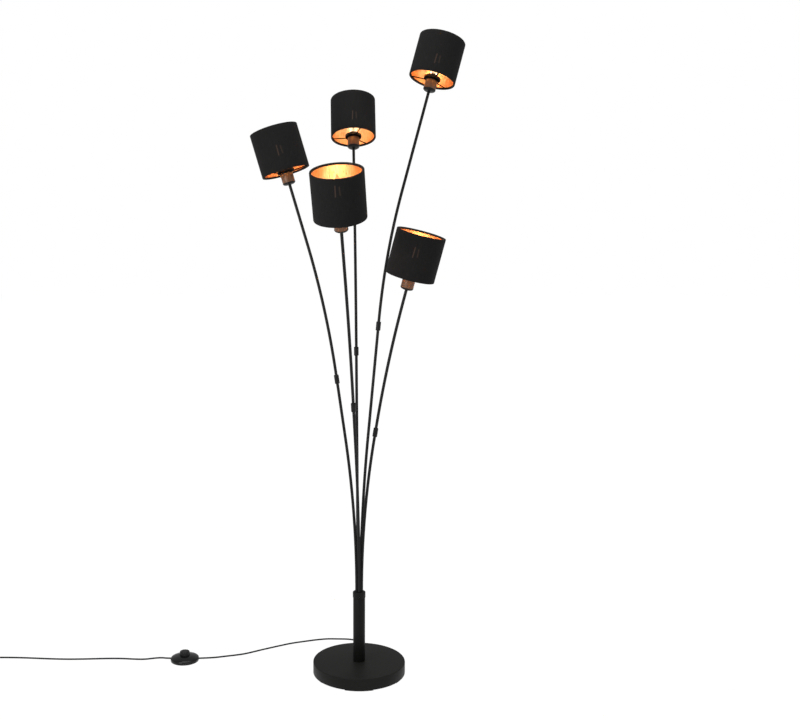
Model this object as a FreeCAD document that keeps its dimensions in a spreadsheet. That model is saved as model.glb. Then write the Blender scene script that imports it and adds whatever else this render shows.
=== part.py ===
"""Tree floor lamp: five curved arms on a round weighted foot, each with a drum shade.

Millimetres, +Z up, origin on the floor at the centre of the foot. -Y is the front.
The driving dimensions are in the Sizes sheet. Turned pieces are revolved sketches bound
to it, drilled pieces are primitives and booleans, and bent tubes and cords are swept.
"""
import FreeCAD
import Part
import Sketcher
import math
import os
import re
from FreeCAD import Placement, Rotation, Vector

doc = FreeCAD.newDocument("TreeFloorLamp")
sheet = doc.addObject("Spreadsheet::Sheet", "Sizes")

SIZES = {
    # foot
    "base_diameter": 254, "base_top": 34.5, "pad_height": 3, "cover_wall": 2, "cover_round": 2,
    "plate_thickness": 2, "weight_clearance": 2, "pad_width": 14, "pad_inset": 3, "pad_angle": 36,
    "centre_pad_diameter": 50, "nut_recess_diameter": 60, "nut_recess_roof": 4,
    "channel_width": 10, "pad_count": 5,
    # tie pipe, nut and washer
    "pipe_diameter": 10, "pipe_bore": 7, "pipe_foot": 17.5, "pipe_in_column": 12,
    "nut_across_corners": 19.6, "nut_height": 6, "washer_diameter": 28, "washer_thickness": 1.5,
    # column and arm block
    "column_diameter": 33, "column_wall": 1.5, "column_top": 230.5, "column_floor": 5,
    "head_diameter": 35, "head_height": 16, "head_chamfer": 1.5, "spigot_depth": 28,
    "bore_circle_diameter": 14.6, "first_bore_angle": -90, "swivel_clearance": 0.05,
    "set_screw_diameter": 4, "set_screw_depth": 12, "hex_key": 2.2, "hex_depth": 2,
    # arm tubes and couplers
    "tube_diameter": 8, "tube_wall": 1, "tube_end_below_block": 2,
    "lower_arc_length": 430, "upper_arc_length": 360, "upper_straight_start": 15,
    "coupler_diameter": 13, "coupler_length": 24.5, "coupler_chamfer": 1.2, "coupler_screw_diameter": 3,
    "coupler_screw_inset": 5, "screw_facing": -90,
    "front_lower_straight": 105.4, "front_upper_straight": 105.5, "front_turn": -99.7,
    "front_lower_bend": 16.2, "front_upper_bend": 6.8,
    "low_lower_straight": 20, "low_upper_straight": 20, "low_turn": -30.5,
    "low_lower_bend": 10.3, "low_upper_bend": 6.2,
    "high_lower_straight": 302, "high_upper_straight": 290, "high_turn": 34.5,
    "high_lower_bend": 6.4, "high_upper_bend": 11.8,
    "middle_lower_straight": 232, "middle_upper_straight": 222, "middle_turn": 93,
    "middle_lower_bend": 9.9, "middle_upper_bend": 9.2,
    "left_lower_straight": 160.7, "left_upper_straight": 161.7, "left_turn": 172.7,
    "left_lower_bend": 8.3, "left_upper_bend": 8.4,
    # lampholder, measured up the shade's axis from the end of the arm
    "cup_diameter": 35, "cup_height": 6, "cup_wall": 1.8, "cup_grip": 4.8, "cup_spigot": 4,
    "sleeve_diameter": 34, "sleeve_wall": 1.3, "sleeve_length": 25,
    "socket_diameter": 24, "socket_bore": 15.4, "socket_floor": 16, "socket_above_flange": 15,
    "flange_thickness": 2.5, "flange_diameter": 31,
    "clamp_ring_diameter": 47, "clamp_ring_height": 6.5,
    # bulb
    "cap_diameter": 14, "cap_length": 24.5, "cap_standoff": 1.5, "bulb_diameter": 35, "bulb_length": 98,
    "glass_wall": 1,
    # shade and its wire frame
    "shade_diameter": 130, "shade_height": 118, "shade_bottom": 34, "fabric_thickness": 0.8,
    "foil_thickness": 0.4, "rim_width": 5, "rim_depth": 5, "hoop_wire": 2.8, "spoke_wire": 2.4,
    "ring_outer_diameter": 45, "ring_thickness": 1.5, "spoke_count": 3,
    # bearing of each shade's first spoke, seen from above
    "front_spoke_angle": 60, "low_spoke_angle": 60, "high_spoke_angle": 43, "middle_spoke_angle": 50,
    "left_spoke_angle": -3,
    # wiring
    "cord_diameter": 4.5, "lead_diameter": 4, "inner_cord_height": 10, "inner_cord_radius": 11,
    "terminal_diameter": 24, "terminal_height": 20, "terminal_bottom": 130, "terminal_screw": 3,
    "bush_flange_diameter": 9.8, "bush_neck_diameter": 7.6, "bush_flange": 2, "bush_length": 23,
    "bush_tip_diameter": 6.8, "bush_clearance": 0.05, "bush_seat": 0.15,
    # foot switch
    "switch_x": -498, "switch_y": 78, "switch_diameter": 80, "switch_parting": 6, "switch_wall": 2,
    "switch_dome_top": 16.5, "switch_post_diameter": 8, "switch_post_height": 9,
    "button_diameter": 28, "button_top": 28, "button_wall": 2.5, "button_clearance": 0.3,
    "button_roof": 6, "button_flange": 2, "button_rib_count": 12, "button_rib_diameter": 3,
    "spring_diameter": 14, "spring_wire": 1.2, "spring_turns": 5, "spring_clearance": 0.05,
    # coil and plug
    "coil_x": -1090, "coil_y": 57, "coil_outer_radius": 30, "coil_pitch": 5.2, "coil_layer_gap": 0.6,
    "coil_turns_per_layer": 2, "plug_body_length": 36, "plug_body_width": 35, "plug_neck_width": 15,
    "plug_flare": 12, "plug_round": 3, "plug_tail_length": 22, "plug_tail_diameter": 7,
    "pin_diameter": 4, "pin_length": 19, "pin_sleeve_length": 10, "pin_sleeve_diameter": 3.8,
    "pin_spacing": 18.6,
}
ARMS = ("front", "low", "high", "middle", "left")

for row, (alias, value) in enumerate(SIZES.items(), start=1):
    sheet.set("A%d" % row, alias)
    sheet.set("B%d" % row, str(value))
    sheet.setAlias("B%d" % row, alias)
doc.recompute()

NODES = []


def size(alias):
    """The value of a driving dimension."""
    return float(getattr(sheet, alias))


def bound(text):
    """An expression whose words are read from the sheet."""
    return re.sub(r"\b([a-z]+_[a-z_]*[a-z])\b", r"Sizes.\1", text)


def node(obj, label, place=None):
    """Name an object as a node of the lamp and put it in its place."""
    obj.Label = label
    if place is not None:
        obj.Placement = place
    NODES.append(obj)
    return obj


def feature(name, shape, place=None):
    """A Part::Feature with a shape of its own."""
    obj = doc.addObject("Part::Feature", name)
    obj.Shape = shape
    if place is not None:
        obj.Placement = place
    return obj


def group(name, members):
    """Separate solids that share one node."""
    obj = doc.addObject("Part::Compound", name)
    obj.Links = members
    return obj


def sketch_on(body, name, plane):
    """A sketch on one of the body's own origin planes."""
    sketch = body.newObject("Sketcher::SketchObject", name)
    face = [f for f in body.Origin.OriginFeatures if f.Role == plane][0]
    sketch.AttachmentSupport = [(face, "")]
    sketch.MapMode = "FlatFace"
    return sketch


def outline(sketch, corners):
    """A closed outline whose corners are bound to the sheet, as (across, up) expressions."""
    count = len(corners)
    start = [Vector(10 + 5 * math.cos(2 * math.pi * i / count), 10 + 5 * math.sin(2 * math.pi * i / count), 0)
             for i in range(count)]
    for i in range(count):
        sketch.addGeometry(Part.LineSegment(start[i], start[(i + 1) % count]), False)
    for i in range(count):
        sketch.addConstraint(Sketcher.Constraint("Coincident", i, 2, (i + 1) % count, 1))
    for i, (across, up) in enumerate(corners):
        for kind, text in (("DistanceX", across), ("DistanceY", up)):
            index = sketch.addConstraint(Sketcher.Constraint(kind, -1, 1, i, 1, 1.0))
            sketch.setExpression("Constraints[%d]" % index, bound(text))


def turned(name, corners):
    """A body revolved about Z from an outline of (radius, height) expressions."""
    body = doc.addObject("PartDesign::Body", name)
    sketch = sketch_on(body, name + "_outline", "XZ_Plane")
    outline(sketch, corners)
    revolution = body.newObject("PartDesign::Revolution", name + "_turning")
    revolution.Profile = sketch
    revolution.ReferenceAxis = (sketch, ["V_Axis"])
    revolution.Angle = 360
    sketch.Visibility = False
    return body


def dress(body, kind, text, keep):
    """Round or chamfer the circular edges of a turned body that keep() picks by radius and height."""
    doc.recompute()
    tip = body.Tip
    edges = []
    for number, edge in enumerate(tip.Shape.Edges, start=1):
        if isinstance(edge.Curve, Part.Circle) and keep(edge.Curve.Radius, edge.Curve.Center.z):
            edges.append("Edge%d" % number)
    dressing = body.newObject("PartDesign::" + kind, body.Name + "_" + kind.lower())
    dressing.Base = (tip, edges)
    dressing.setExpression("Radius" if kind == "Fillet" else "Size", bound(text))
    return body


def near(value, other):
    return abs(value - other) < 1e-4


def cylinder(name, radius, length, place=None):
    """A cylinder whose radius and length are expressions."""
    obj = doc.addObject("Part::Cylinder", name)
    obj.setExpression("Radius", bound(radius))
    obj.setExpression("Height", bound(length))
    if place is not None:
        obj.Placement = place
    return obj


def prism(name, corner_radius, length, place=None):
    """A hexagonal bar."""
    obj = doc.addObject("Part::Prism", name)
    obj.Polygon = 6
    obj.setExpression("Circumradius", bound(corner_radius))
    obj.setExpression("Height", bound(length))
    if place is not None:
        obj.Placement = place
    return obj


def cut(name, base, tools):
    """A base piece with the tools taken out of it."""
    tool = tools[0]
    if len(tools) > 1:
        tool = doc.addObject("Part::MultiFuse", name + "_tools")
        tool.Shapes = tools
    obj = doc.addObject("Part::Cut", name)
    obj.Base = base
    obj.Tool = tool
    return obj


def polar(radius, degrees, height=0.0):
    angle = math.radians(degrees)
    return Vector(radius * math.cos(angle), radius * math.sin(angle), height)


def facing_out(degrees, position):
    """A placement whose Z axis points outwards, level, at the given bearing."""
    return Placement(position, Rotation(Vector(0, 0, 1), polar(1, degrees)))


def sweep(wire, radius):
    """A round bar of the given radius along a wire."""
    edge = wire.Edges[0]
    start = edge.valueAt(edge.FirstParameter)
    direction = edge.tangentAt(edge.FirstParameter)
    ring = Part.Wire([Part.makeCircle(radius, start, direction)])
    return Part.Wire(wire.Edges).makePipeShell([ring], True, False)


def tube(wire, outer, inner):
    """A hollow tube along a wire."""
    return sweep(wire, outer).cut(sweep(wire, inner))


def rounded_route(name, points, radius):
    """Straight runs joined by tangent arcs; each arc is as large as its two runs allow."""
    edges = []
    radii = []
    start = points[0]
    for before, corner, after in zip(points, points[1:], points[2:]):
        come = (corner - before).normalize()
        go = (after - corner).normalize()
        turn = come.getAngle(go)
        trim = 0.45 * min((corner - before).Length, (after - corner).Length)
        radii.append(trim / math.tan(turn / 2))
        first = corner - come * trim
        last = corner + go * trim
        middle_way = (go - come).normalize()
        middle = corner + middle_way * (radii[-1] / math.cos(turn / 2) - radii[-1])
        edges.append(Part.LineSegment(start, first).toShape())
        edges.append(Part.Arc(first, middle, last).toShape())
        start = last
    edges.append(Part.LineSegment(start, points[-1]).toShape())
    wire = Part.Wire(edges)
    solid = sweep(wire, radius)
    expected = math.pi * radius ** 2 * wire.Length
    print("%s: length %.0f, least radius %.1f, volume / (section x length) %.4f, radii %s" % (
        name, wire.Length, min(radii), solid.Volume / expected, " ".join("%.0f" % r for r in radii)))
    return solid


# ---------------------------------------------------------------- foot

def foot_cover():
    """Spun steel cap with a rounded top edge, a hole for the tie pipe and one for the cord bush."""
    body = turned("foot_cap", [
        ("pipe_diameter / 2 + 0.2", "base_top"), ("base_diameter / 2", "base_top"),
        ("base_diameter / 2", "pad_height"), ("base_diameter / 2 - cover_wall", "pad_height"),
        ("base_diameter / 2 - cover_wall", "base_top - cover_wall"),
        ("pipe_diameter / 2 + 0.2", "base_top - cover_wall")])
    dress(body, "Fillet", "cover_round",
          lambda r, z: near(r, size("base_diameter") / 2) and near(z, size("base_top")))
    hole = cylinder("bush_hole", "bush_neck_diameter / 2", "4 * cover_wall",
                    facing_out(90, Vector(0, size("base_diameter") / 2 - 2 * size("cover_wall"),
                                          size("inner_cord_height"))))
    node(cut("cover_drilled", body, [hole]), "base_cover")


def foot_weight():
    """Cast iron disc with a recess for the nut and a channel for the cord to the rear."""
    top = "base_top - cover_wall"
    body = turned("weight_disc", [
        ("pipe_diameter / 2 + 0.2", top),
        ("base_diameter / 2 - cover_wall - weight_clearance", top),
        ("base_diameter / 2 - cover_wall - weight_clearance", "pad_height + plate_thickness"),
        ("nut_recess_diameter / 2", "pad_height + plate_thickness"),
        ("nut_recess_diameter / 2", top + " - nut_recess_roof"),
        ("pipe_diameter / 2 + 0.2", top + " - nut_recess_roof")])
    channel = doc.addObject("Part::Box", "cord_channel")
    channel.setExpression("Length", bound("channel_width"))
    channel.setExpression("Width", bound("base_diameter / 2"))
    channel.setExpression("Height", bound("inner_cord_height - pad_height - plate_thickness + channel_width / 2"))
    channel.setExpression("Placement.Base.x", bound("-channel_width / 2"))
    channel.setExpression("Placement.Base.y", bound("nut_recess_diameter / 4"))
    channel.setExpression("Placement.Base.z", bound("pad_height + plate_thickness"))
    node(cut("weight_cast", body, [channel]), "base_weight")


def foot_plate_and_pads():
    """Underside plate, the arc-shaped pads under the rim and a round pad under the centre."""
    plate = turned("underside_plate", [
        ("0", "pad_height + plate_thickness"),
        ("base_diameter / 2 - cover_wall", "pad_height + plate_thickness"),
        ("base_diameter / 2 - cover_wall", "pad_height"), ("0", "pad_height")])
    node(plate, "base_plate")
    pads = [cylinder("centre_pad", "centre_pad_diameter / 2", "pad_height")]
    count = int(size("pad_count"))
    for i in range(count):
        place = Placement(Vector(), Rotation(Vector(0, 0, 1), -90 - size("pad_angle") / 2 + 360 * i / count))
        outer = cylinder("pad_outer_%d" % i, "base_diameter / 2 - pad_inset", "pad_height", place)
        outer.setExpression("Angle", bound("pad_angle"))
        inner = cylinder("pad_inner_%d" % i, "base_diameter / 2 - pad_inset - pad_width", "pad_height", place)
        pads.append(cut("rim_pad_%d" % i, outer, [inner]))
    node(group("pads", pads), "base_feet")


def tie_pipe_and_nut():
    """Threaded pipe that pulls the column down on the foot, with its nut and washer."""
    pipe = turned("threaded_pipe", [
        ("pipe_bore / 2", "pipe_foot"), ("pipe_diameter / 2", "pipe_foot"),
        ("pipe_diameter / 2", "base_top + pipe_in_column"), ("pipe_bore / 2", "base_top + pipe_in_column")])
    node(pipe, "tie_pipe")
    seat = "base_top - cover_wall - nut_recess_roof"
    washer = turned("washer", [
        ("pipe_diameter / 2 + 0.2", seat), ("washer_diameter / 2", seat),
        ("washer_diameter / 2", seat + " - washer_thickness"),
        ("pipe_diameter / 2 + 0.2", seat + " - washer_thickness")])
    nut_foot = size("base_top") - size("cover_wall") - size("nut_recess_roof") - size("washer_thickness") \
        - size("nut_height")
    low = Placement(Vector(0, 0, nut_foot), Rotation())
    nut = cut("nut", prism("nut_hex", "nut_across_corners / 2", "nut_height", low),
              [cylinder("nut_thread", "pipe_diameter / 2", "nut_height", low)])
    node(group("nut_and_washer", [nut, washer]), "base_nut")


# ---------------------------------------------------------------- column and arm block

def column():
    """Column tube with a welded floor that the tie pipe screws into."""
    foot = "base_top"
    top = "column_top - head_height"
    node(turned("column", [
        ("pipe_diameter / 2", foot), ("column_diameter / 2", foot), ("column_diameter / 2", top),
        ("column_diameter / 2 - column_wall", top),
        ("column_diameter / 2 - column_wall", foot + " + column_floor"),
        ("pipe_diameter / 2", foot + " + column_floor")]), "column_tube")


def bore_angle(index):
    return size("first_bore_angle") + 360 * index / len(ARMS)


def arm_block():
    """Solid block with one upright bore for each arm and a radial set screw to each bore."""
    spigot = "column_diameter / 2 - column_wall"
    body = turned("block", [
        ("0", "column_top"), ("head_diameter / 2", "column_top"),
        ("head_diameter / 2", "column_top - head_height"), (spigot, "column_top - head_height"),
        (spigot, "column_top - head_height - spigot_depth"), ("0", "column_top - head_height - spigot_depth")])
    dress(body, "Chamfer", "head_chamfer",
          lambda r, z: near(r, size("head_diameter") / 2) and near(z, size("column_top")))
    foot = size("column_top") - size("head_height") - size("spigot_depth")
    reach = size("bore_circle_diameter") / 2
    rod = size("tube_diameter") / 2 + size("swivel_clearance")
    screw_height = size("column_top") - size("set_screw_depth")
    tools = []
    screws = []
    for index, arm in enumerate(ARMS):
        angle = bore_angle(index)
        tools.append(cylinder(arm + "_bore", "tube_diameter / 2 + swivel_clearance",
                              "head_height + spigot_depth", Placement(polar(reach, angle, foot), Rotation())))
        place = facing_out(angle, polar(reach + rod, angle, screw_height))
        length = "head_diameter / 2 - bore_circle_diameter / 2 - tube_diameter / 2 - swivel_clearance - 0.3"
        tools.append(cylinder(arm + "_screw_hole", "set_screw_diameter / 2", length + " + 5", place))
        shank = cylinder(arm + "_screw_shank", "set_screw_diameter / 2", length, place)
        outer = size("head_diameter") / 2 - 0.3 - size("hex_depth")
        key = prism(arm + "_screw_key", "hex_key / 2", "hex_depth",
                    facing_out(angle, polar(outer, angle, screw_height)))
        screws.append(cut(arm + "_set_screw", shank, [key]))
    node(cut("block_drilled", body, tools), "arm_block")
    node(group("set_screws", screws), "arm_block_screws")


# ---------------------------------------------------------------- arms

def arc_step(start, tilt, length, bend):
    """The middle, end and end tilt of an arc of this length that leans out by bend degrees."""
    turn = math.radians(bend)
    radius = length / turn
    points = []
    for part in (0.5, 1.0):
        lean = tilt + turn * part
        points.append(start + Vector(radius * (math.cos(tilt) - math.cos(lean)), 0,
                                     radius * (math.sin(lean) - math.sin(tilt))))
    return points[0], points[1], tilt + turn


def run_step(start, tilt, length):
    return start + Vector(math.sin(tilt), 0, math.cos(tilt)) * length


def arm_wires(arm):
    """Centre lines of an arm's two tubes, in its own plane: X out from the bore, Z up from the block."""
    below = size("head_height") + size("spigot_depth") + size("tube_end_below_block")
    foot = Vector(0, 0, -below)
    middle, bent, tilt = arc_step(Vector(), 0.0, size("lower_arc_length"), size(arm + "_lower_bend"))
    joint = run_step(bent, tilt, size(arm + "_lower_straight"))
    lower = Part.Wire([Part.LineSegment(foot, Vector()).toShape(), Part.Arc(Vector(), middle, bent).toShape(),
                       Part.LineSegment(bent, joint).toShape()])
    start = run_step(joint, tilt, size("upper_straight_start"))
    middle, bent, end_tilt = arc_step(start, tilt, size("upper_arc_length"), size(arm + "_upper_bend"))
    end = run_step(bent, end_tilt, size(arm + "_upper_straight"))
    inside = run_step(end, end_tilt, size("cup_grip"))
    upper = Part.Wire([Part.LineSegment(joint, start).toShape(), Part.Arc(start, middle, bent).toShape(),
                       Part.LineSegment(bent, inside).toShape()])
    return lower, upper, joint, tilt, end, end_tilt


def arm_place(index, arm):
    """Where the arm's own plane stands: on its bore, turned to its bearing."""
    spot = polar(size("bore_circle_diameter") / 2, bore_angle(index), size("column_top"))
    return Placement(spot, Rotation(Vector(0, 0, 1), size(arm + "_turn")))


def leaning(point, tilt):
    """A placement at a point of the arm's plane, with Z along the arm there."""
    return Placement(point, Rotation(Vector(0, 1, 0), math.degrees(tilt)))


def coupler(arm, place):
    """Chamfered sleeve over the joint of the two tubes, with a set screw near each end."""
    body = turned(arm + "_sleeve_joint", [
        ("tube_diameter / 2", "0"), ("coupler_diameter / 2", "0"),
        ("coupler_diameter / 2", "coupler_length"), ("tube_diameter / 2", "coupler_length")])
    dress(body, "Chamfer", "coupler_chamfer", lambda r, z: near(r, size("coupler_diameter") / 2))
    tools = []
    screws = []
    bearing = size("screw_facing") - size(arm + "_turn")
    for end, height in (("foot", size("coupler_screw_inset")),
                        ("top", size("coupler_length") - size("coupler_screw_inset"))):
        name = "%s_coupler_%s" % (arm, end)
        spot = facing_out(bearing, polar(size("tube_diameter") / 2, bearing, height))
        length = "coupler_diameter / 2 - tube_diameter / 2 - 0.2"
        tools.append(cylinder(name + "_hole", "coupler_screw_diameter / 2", length + " + 3", spot))
        shank = cylinder(name + "_shank", "coupler_screw_diameter / 2", length, spot)
        key_spot = facing_out(bearing, polar(size("coupler_diameter") / 2 - 0.2 - size("hex_depth") / 2,
                                             bearing, height))
        key = prism(name + "_key", "hex_key / 2.8", "hex_depth / 2", key_spot)
        screws.append(cut(name + "_screw", shank, [key]))
    drilled = cut(arm + "_coupler_drilled", body, tools)
    node(group(arm + "_coupler_set", [drilled] + screws), arm + "_coupler", place)


SLEEVE_FOOT = "cup_height"
SLEEVE_TOP = "cup_height + sleeve_length"
FLANGE_TOP = SLEEVE_TOP + " + flange_thickness"
RING_TOP = FLANGE_TOP + " + ring_thickness"
SOCKET_TOP = FLANGE_TOP + " + socket_above_flange"
CAP_FOOT = "cup_height + socket_floor + cap_standoff"
CAP_TOP = CAP_FOOT + " + cap_length"


def lampholder(arm, place, lead):
    """Bowl-shaped cup, ceramic socket with its contact, clamp ring, and the lead down the arm."""
    cup = turned(arm + "_cup", [
        ("tube_diameter / 2", "0"), ("cup_diameter * 0.24", "0"), ("cup_diameter * 0.38", "cup_height * 0.19"),
        ("cup_diameter * 0.46", "cup_height * 0.5"), ("cup_diameter * 0.494", "cup_height * 0.8"),
        ("cup_diameter / 2", "cup_height"), ("sleeve_diameter / 2 - sleeve_wall", "cup_height"),
        ("sleeve_diameter / 2 - sleeve_wall", "cup_height + cup_spigot"),
        ("socket_diameter / 2", "cup_height + cup_spigot"), ("socket_diameter / 2", "cup_height * 0.8"),
        ("tube_diameter / 2", "cup_height * 0.8")])
    socket = turned(arm + "_socket", [
        ("lead_diameter / 2", "cup_height"), ("socket_diameter / 2", "cup_height"),
        ("socket_diameter / 2", SLEEVE_TOP), ("flange_diameter / 2", SLEEVE_TOP),
        ("flange_diameter / 2", FLANGE_TOP), ("socket_diameter / 2", FLANGE_TOP),
        ("socket_diameter / 2", SOCKET_TOP), ("socket_bore / 2", SOCKET_TOP),
        ("socket_bore / 2", "cup_height + socket_floor"), ("lead_diameter / 2", "cup_height + socket_floor")])
    contact = turned(arm + "_contact", [
        ("0", "cup_height + socket_floor"), ("socket_bore / 4", "cup_height + socket_floor"),
        ("socket_bore / 4", CAP_FOOT), ("0", CAP_FOOT)])
    ring = turned(arm + "_clamp_ring", [
        ("socket_diameter / 2", RING_TOP), ("clamp_ring_diameter / 2", RING_TOP),
        ("clamp_ring_diameter / 2", RING_TOP + " + clamp_ring_height"),
        ("socket_diameter / 2", RING_TOP + " + clamp_ring_height")])
    node(group(arm + "_holder_set", [cup, socket, contact, ring, lead]), arm + "_holder", place)


def bulb(arm, place):
    """Candle bulb: screw cap and a hollow glass that swells and then narrows to a tip."""
    cap = turned(arm + "_bulb_cap", [
        ("0", CAP_FOOT), ("cap_diameter / 2 - 2", CAP_FOOT), ("cap_diameter / 2", CAP_FOOT + " + 4"),
        ("cap_diameter / 2", CAP_TOP), ("0", CAP_TOP)])
    spread = [(0.19, 0.0), (0.22, 0.02), (0.34, 0.09), (0.44, 0.17), (0.495, 0.27), (0.5, 0.36), (0.475, 0.46),
              (0.415, 0.57), (0.325, 0.69), (0.215, 0.81), (0.11, 0.92), (0.05, 0.985)]
    outer = [("bulb_diameter * %g" % r, CAP_TOP + " + bulb_length * %g" % up) for r, up in spread]
    inner = [("bulb_diameter * %g - glass_wall" % r, CAP_TOP + " + bulb_length * %g" % up)
             for r, up in spread[:-2]]
    tip = [("0", CAP_TOP + " + bulb_length")]
    hollow_tip = [("0", CAP_TOP + " + bulb_length * 0.94 - glass_wall")]
    glass = turned(arm + "_bulb_glass", outer + tip + hollow_tip + inner[::-1])
    node(group(arm + "_bulb_set", [cap, glass]), arm + "_bulb", place)


def shade(arm, place):
    """Drum of fabric turned in over both hoops, lined with foil."""
    outer = "shade_diameter / 2"
    wall = outer + " - fabric_thickness"
    lip = outer + " - rim_width"
    low = "shade_bottom"
    high = "shade_bottom + shade_height"
    fabric = turned(arm + "_fabric", [
        (outer, low), (outer, high), (lip, high), (lip, high + " - rim_depth"),
        (lip + " + fabric_thickness", high + " - rim_depth"),
        (lip + " + fabric_thickness", high + " - fabric_thickness"), (wall, high + " - fabric_thickness"),
        (wall, low + " + fabric_thickness"), (lip + " + fabric_thickness", low + " + fabric_thickness"),
        (lip + " + fabric_thickness", low + " + rim_depth"), (lip, low + " + rim_depth"), (lip, low)])
    foil = turned(arm + "_foil", [
        (wall, low + " + rim_depth"), (wall, high + " - rim_depth"),
        (wall + " - foil_thickness", high + " - rim_depth"), (wall + " - foil_thickness", low + " + rim_depth")])
    notches = []
    for i in range(int(size("spoke_count"))):
        inner, reach = spoke(arm, i)
        spot = Placement(inner, Rotation(Vector(0, 0, 1), reach))
        notches.append(cylinder("%s_notch_%d" % (arm, i), "spoke_wire / 2", "%r" % reach.Length, spot))
    notched = cut(arm + "_fabric_notched", fabric, notches)
    node(group(arm + "_shade_set", [notched, foil]), arm + "_shade", place)


def spoke(arm, index):
    """The inner end of a spoke of the shade frame, and its reach to the lower hoop."""
    angle = size(arm + "_spoke_angle") - size(arm + "_turn") + 360 * index / size("spoke_count")
    ring_top = size("cup_height") + size("sleeve_length") + size("flange_thickness") + size("ring_thickness")
    level = ring_top - size("spoke_wire") * 0.6
    inner = polar(size("ring_outer_diameter") / 2 - size("spoke_wire") / 2, angle, level)
    hoop = size("shade_bottom") + size("fabric_thickness") + size("hoop_wire") / 2
    outer = polar(size("shade_diameter") / 2 - size("rim_width") / 2, angle, hoop)
    return inner, outer - inner


def wire_frame(arm, place):
    """Two wire hoops, the ring that the holder clamps, and the spokes from it to the lower hoop."""
    hoop_radius = size("shade_diameter") / 2 - size("rim_width") / 2
    low = size("shade_bottom") + size("fabric_thickness") + size("hoop_wire") / 2
    high = size("shade_bottom") + size("shade_height") - size("fabric_thickness") - size("hoop_wire") / 2
    ring_foot = size("cup_height") + size("sleeve_length") + size("flange_thickness")
    ring = Part.makeCylinder(size("ring_outer_diameter") / 2, size("ring_thickness"), Vector(0, 0, ring_foot))
    ring = ring.cut(Part.makeCylinder(size("socket_diameter") / 2, size("ring_thickness"),
                                      Vector(0, 0, ring_foot)))
    hoop = Part.makeTorus(hoop_radius, size("hoop_wire") / 2, Vector(0, 0, low))
    welded = ring.fuse(hoop)
    for i in range(int(size("spoke_count"))):
        inner, reach = spoke(arm, i)
        welded = welded.fuse(Part.makeCylinder(size("spoke_wire") / 2, reach.Length, inner, reach))
    top = Part.makeTorus(hoop_radius, size("hoop_wire") / 2, Vector(0, 0, high))
    node(feature(arm + "_wires", Part.makeCompound([welded, top])), arm + "_frame", place)


def arms():
    """Five arms in a ring of bores, each bent out in its own direction."""
    outer = size("tube_diameter") / 2
    inner = outer - size("tube_wall")
    for index, arm in enumerate(ARMS):
        lower, upper, joint, tilt, end, end_tilt = arm_wires(arm)
        stand = arm_place(index, arm)
        node(feature(arm + "_lower", tube(lower, outer, inner), stand), arm + "_lower_tube")
        node(feature(arm + "_upper", tube(upper, outer, inner), stand), arm + "_upper_tube")
        joint_foot = run_step(joint, tilt, -size("coupler_length") / 2)
        coupler(arm, stand.multiply(leaning(joint_foot, tilt)))
        top = stand.multiply(leaning(end, end_tilt))
        last = run_step(end, end_tilt, size("cup_height") + size("socket_floor"))
        grip_end = run_step(end, end_tilt, size("cup_grip"))
        route = Part.Wire(lower.Edges + upper.Edges + [Part.LineSegment(grip_end, last).toShape()])
        lead = feature(arm + "_lead", sweep(route, size("lead_diameter") / 2),
                       leaning(end, end_tilt).inverse())
        lampholder(arm, top, lead)
        node(turned(arm + "_skirt", [
            ("sleeve_diameter / 2 - sleeve_wall", SLEEVE_FOOT), ("sleeve_diameter / 2", SLEEVE_FOOT),
            ("sleeve_diameter / 2", SLEEVE_TOP), ("sleeve_diameter / 2 - sleeve_wall", SLEEVE_TOP)]),
            arm + "_sleeve", top)
        wire_frame(arm, top)
        shade(arm, top)
        bulb(arm, top)


# ---------------------------------------------------------------- wiring inside the lamp

def terminal_block():
    """Round insulating block in the column, with a clamp screw for each arm's lead."""
    high = "terminal_bottom + terminal_height"
    body = turned("terminal_body", [("0", high), ("terminal_diameter / 2", high),
                                    ("terminal_diameter / 2", "terminal_bottom"), ("0", "terminal_bottom")])
    level = size("terminal_bottom") + size("terminal_height") / 2
    tools = []
    for index in range(len(ARMS)):
        angle = bore_angle(index)
        spot = facing_out(angle, polar(size("terminal_diameter") / 2 - 3, angle, level))
        tools.append(cylinder("terminal_hole_%d" % index, "terminal_screw / 2", "4", spot))
    node(cut("terminal_drilled", body, tools), "terminal_block")


def inner_leads():
    """Supply cord from the bush up the tie pipe to the terminal block, and a tail to each arm."""
    radius = size("cord_diameter") / 2
    height = size("inner_cord_height")
    bend = size("inner_cord_radius")
    mouth = Vector(0, size("base_diameter") / 2 + size("bush_length"), height)
    turn_in = Vector(0, bend, height)
    turn_up = Vector(0, 0, height + bend)
    elbow = Vector(0, bend - bend * math.sin(math.pi / 4), height + bend - bend * math.cos(math.pi / 4))
    top = Vector(0, 0, size("terminal_bottom"))
    wire = Part.Wire([Part.LineSegment(mouth, turn_in).toShape(), Part.Arc(turn_in, elbow, turn_up).toShape(),
                      Part.LineSegment(turn_up, top).toShape()])
    leads = [feature("supply_cord", sweep(wire, radius))]
    foot = size("terminal_bottom") + size("terminal_height")
    below = size("column_top") - size("head_height") - size("spigot_depth") - size("tube_end_below_block")
    for index, arm in enumerate(ARMS):
        spot = Placement(polar(size("bore_circle_diameter") / 2, bore_angle(index), foot), Rotation())
        tail = cylinder(arm + "_tail", "lead_diameter / 2", "%r" % (below - foot), spot)
        leads.append(tail)
    node(group("leads", leads), "inner_leads")


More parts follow.
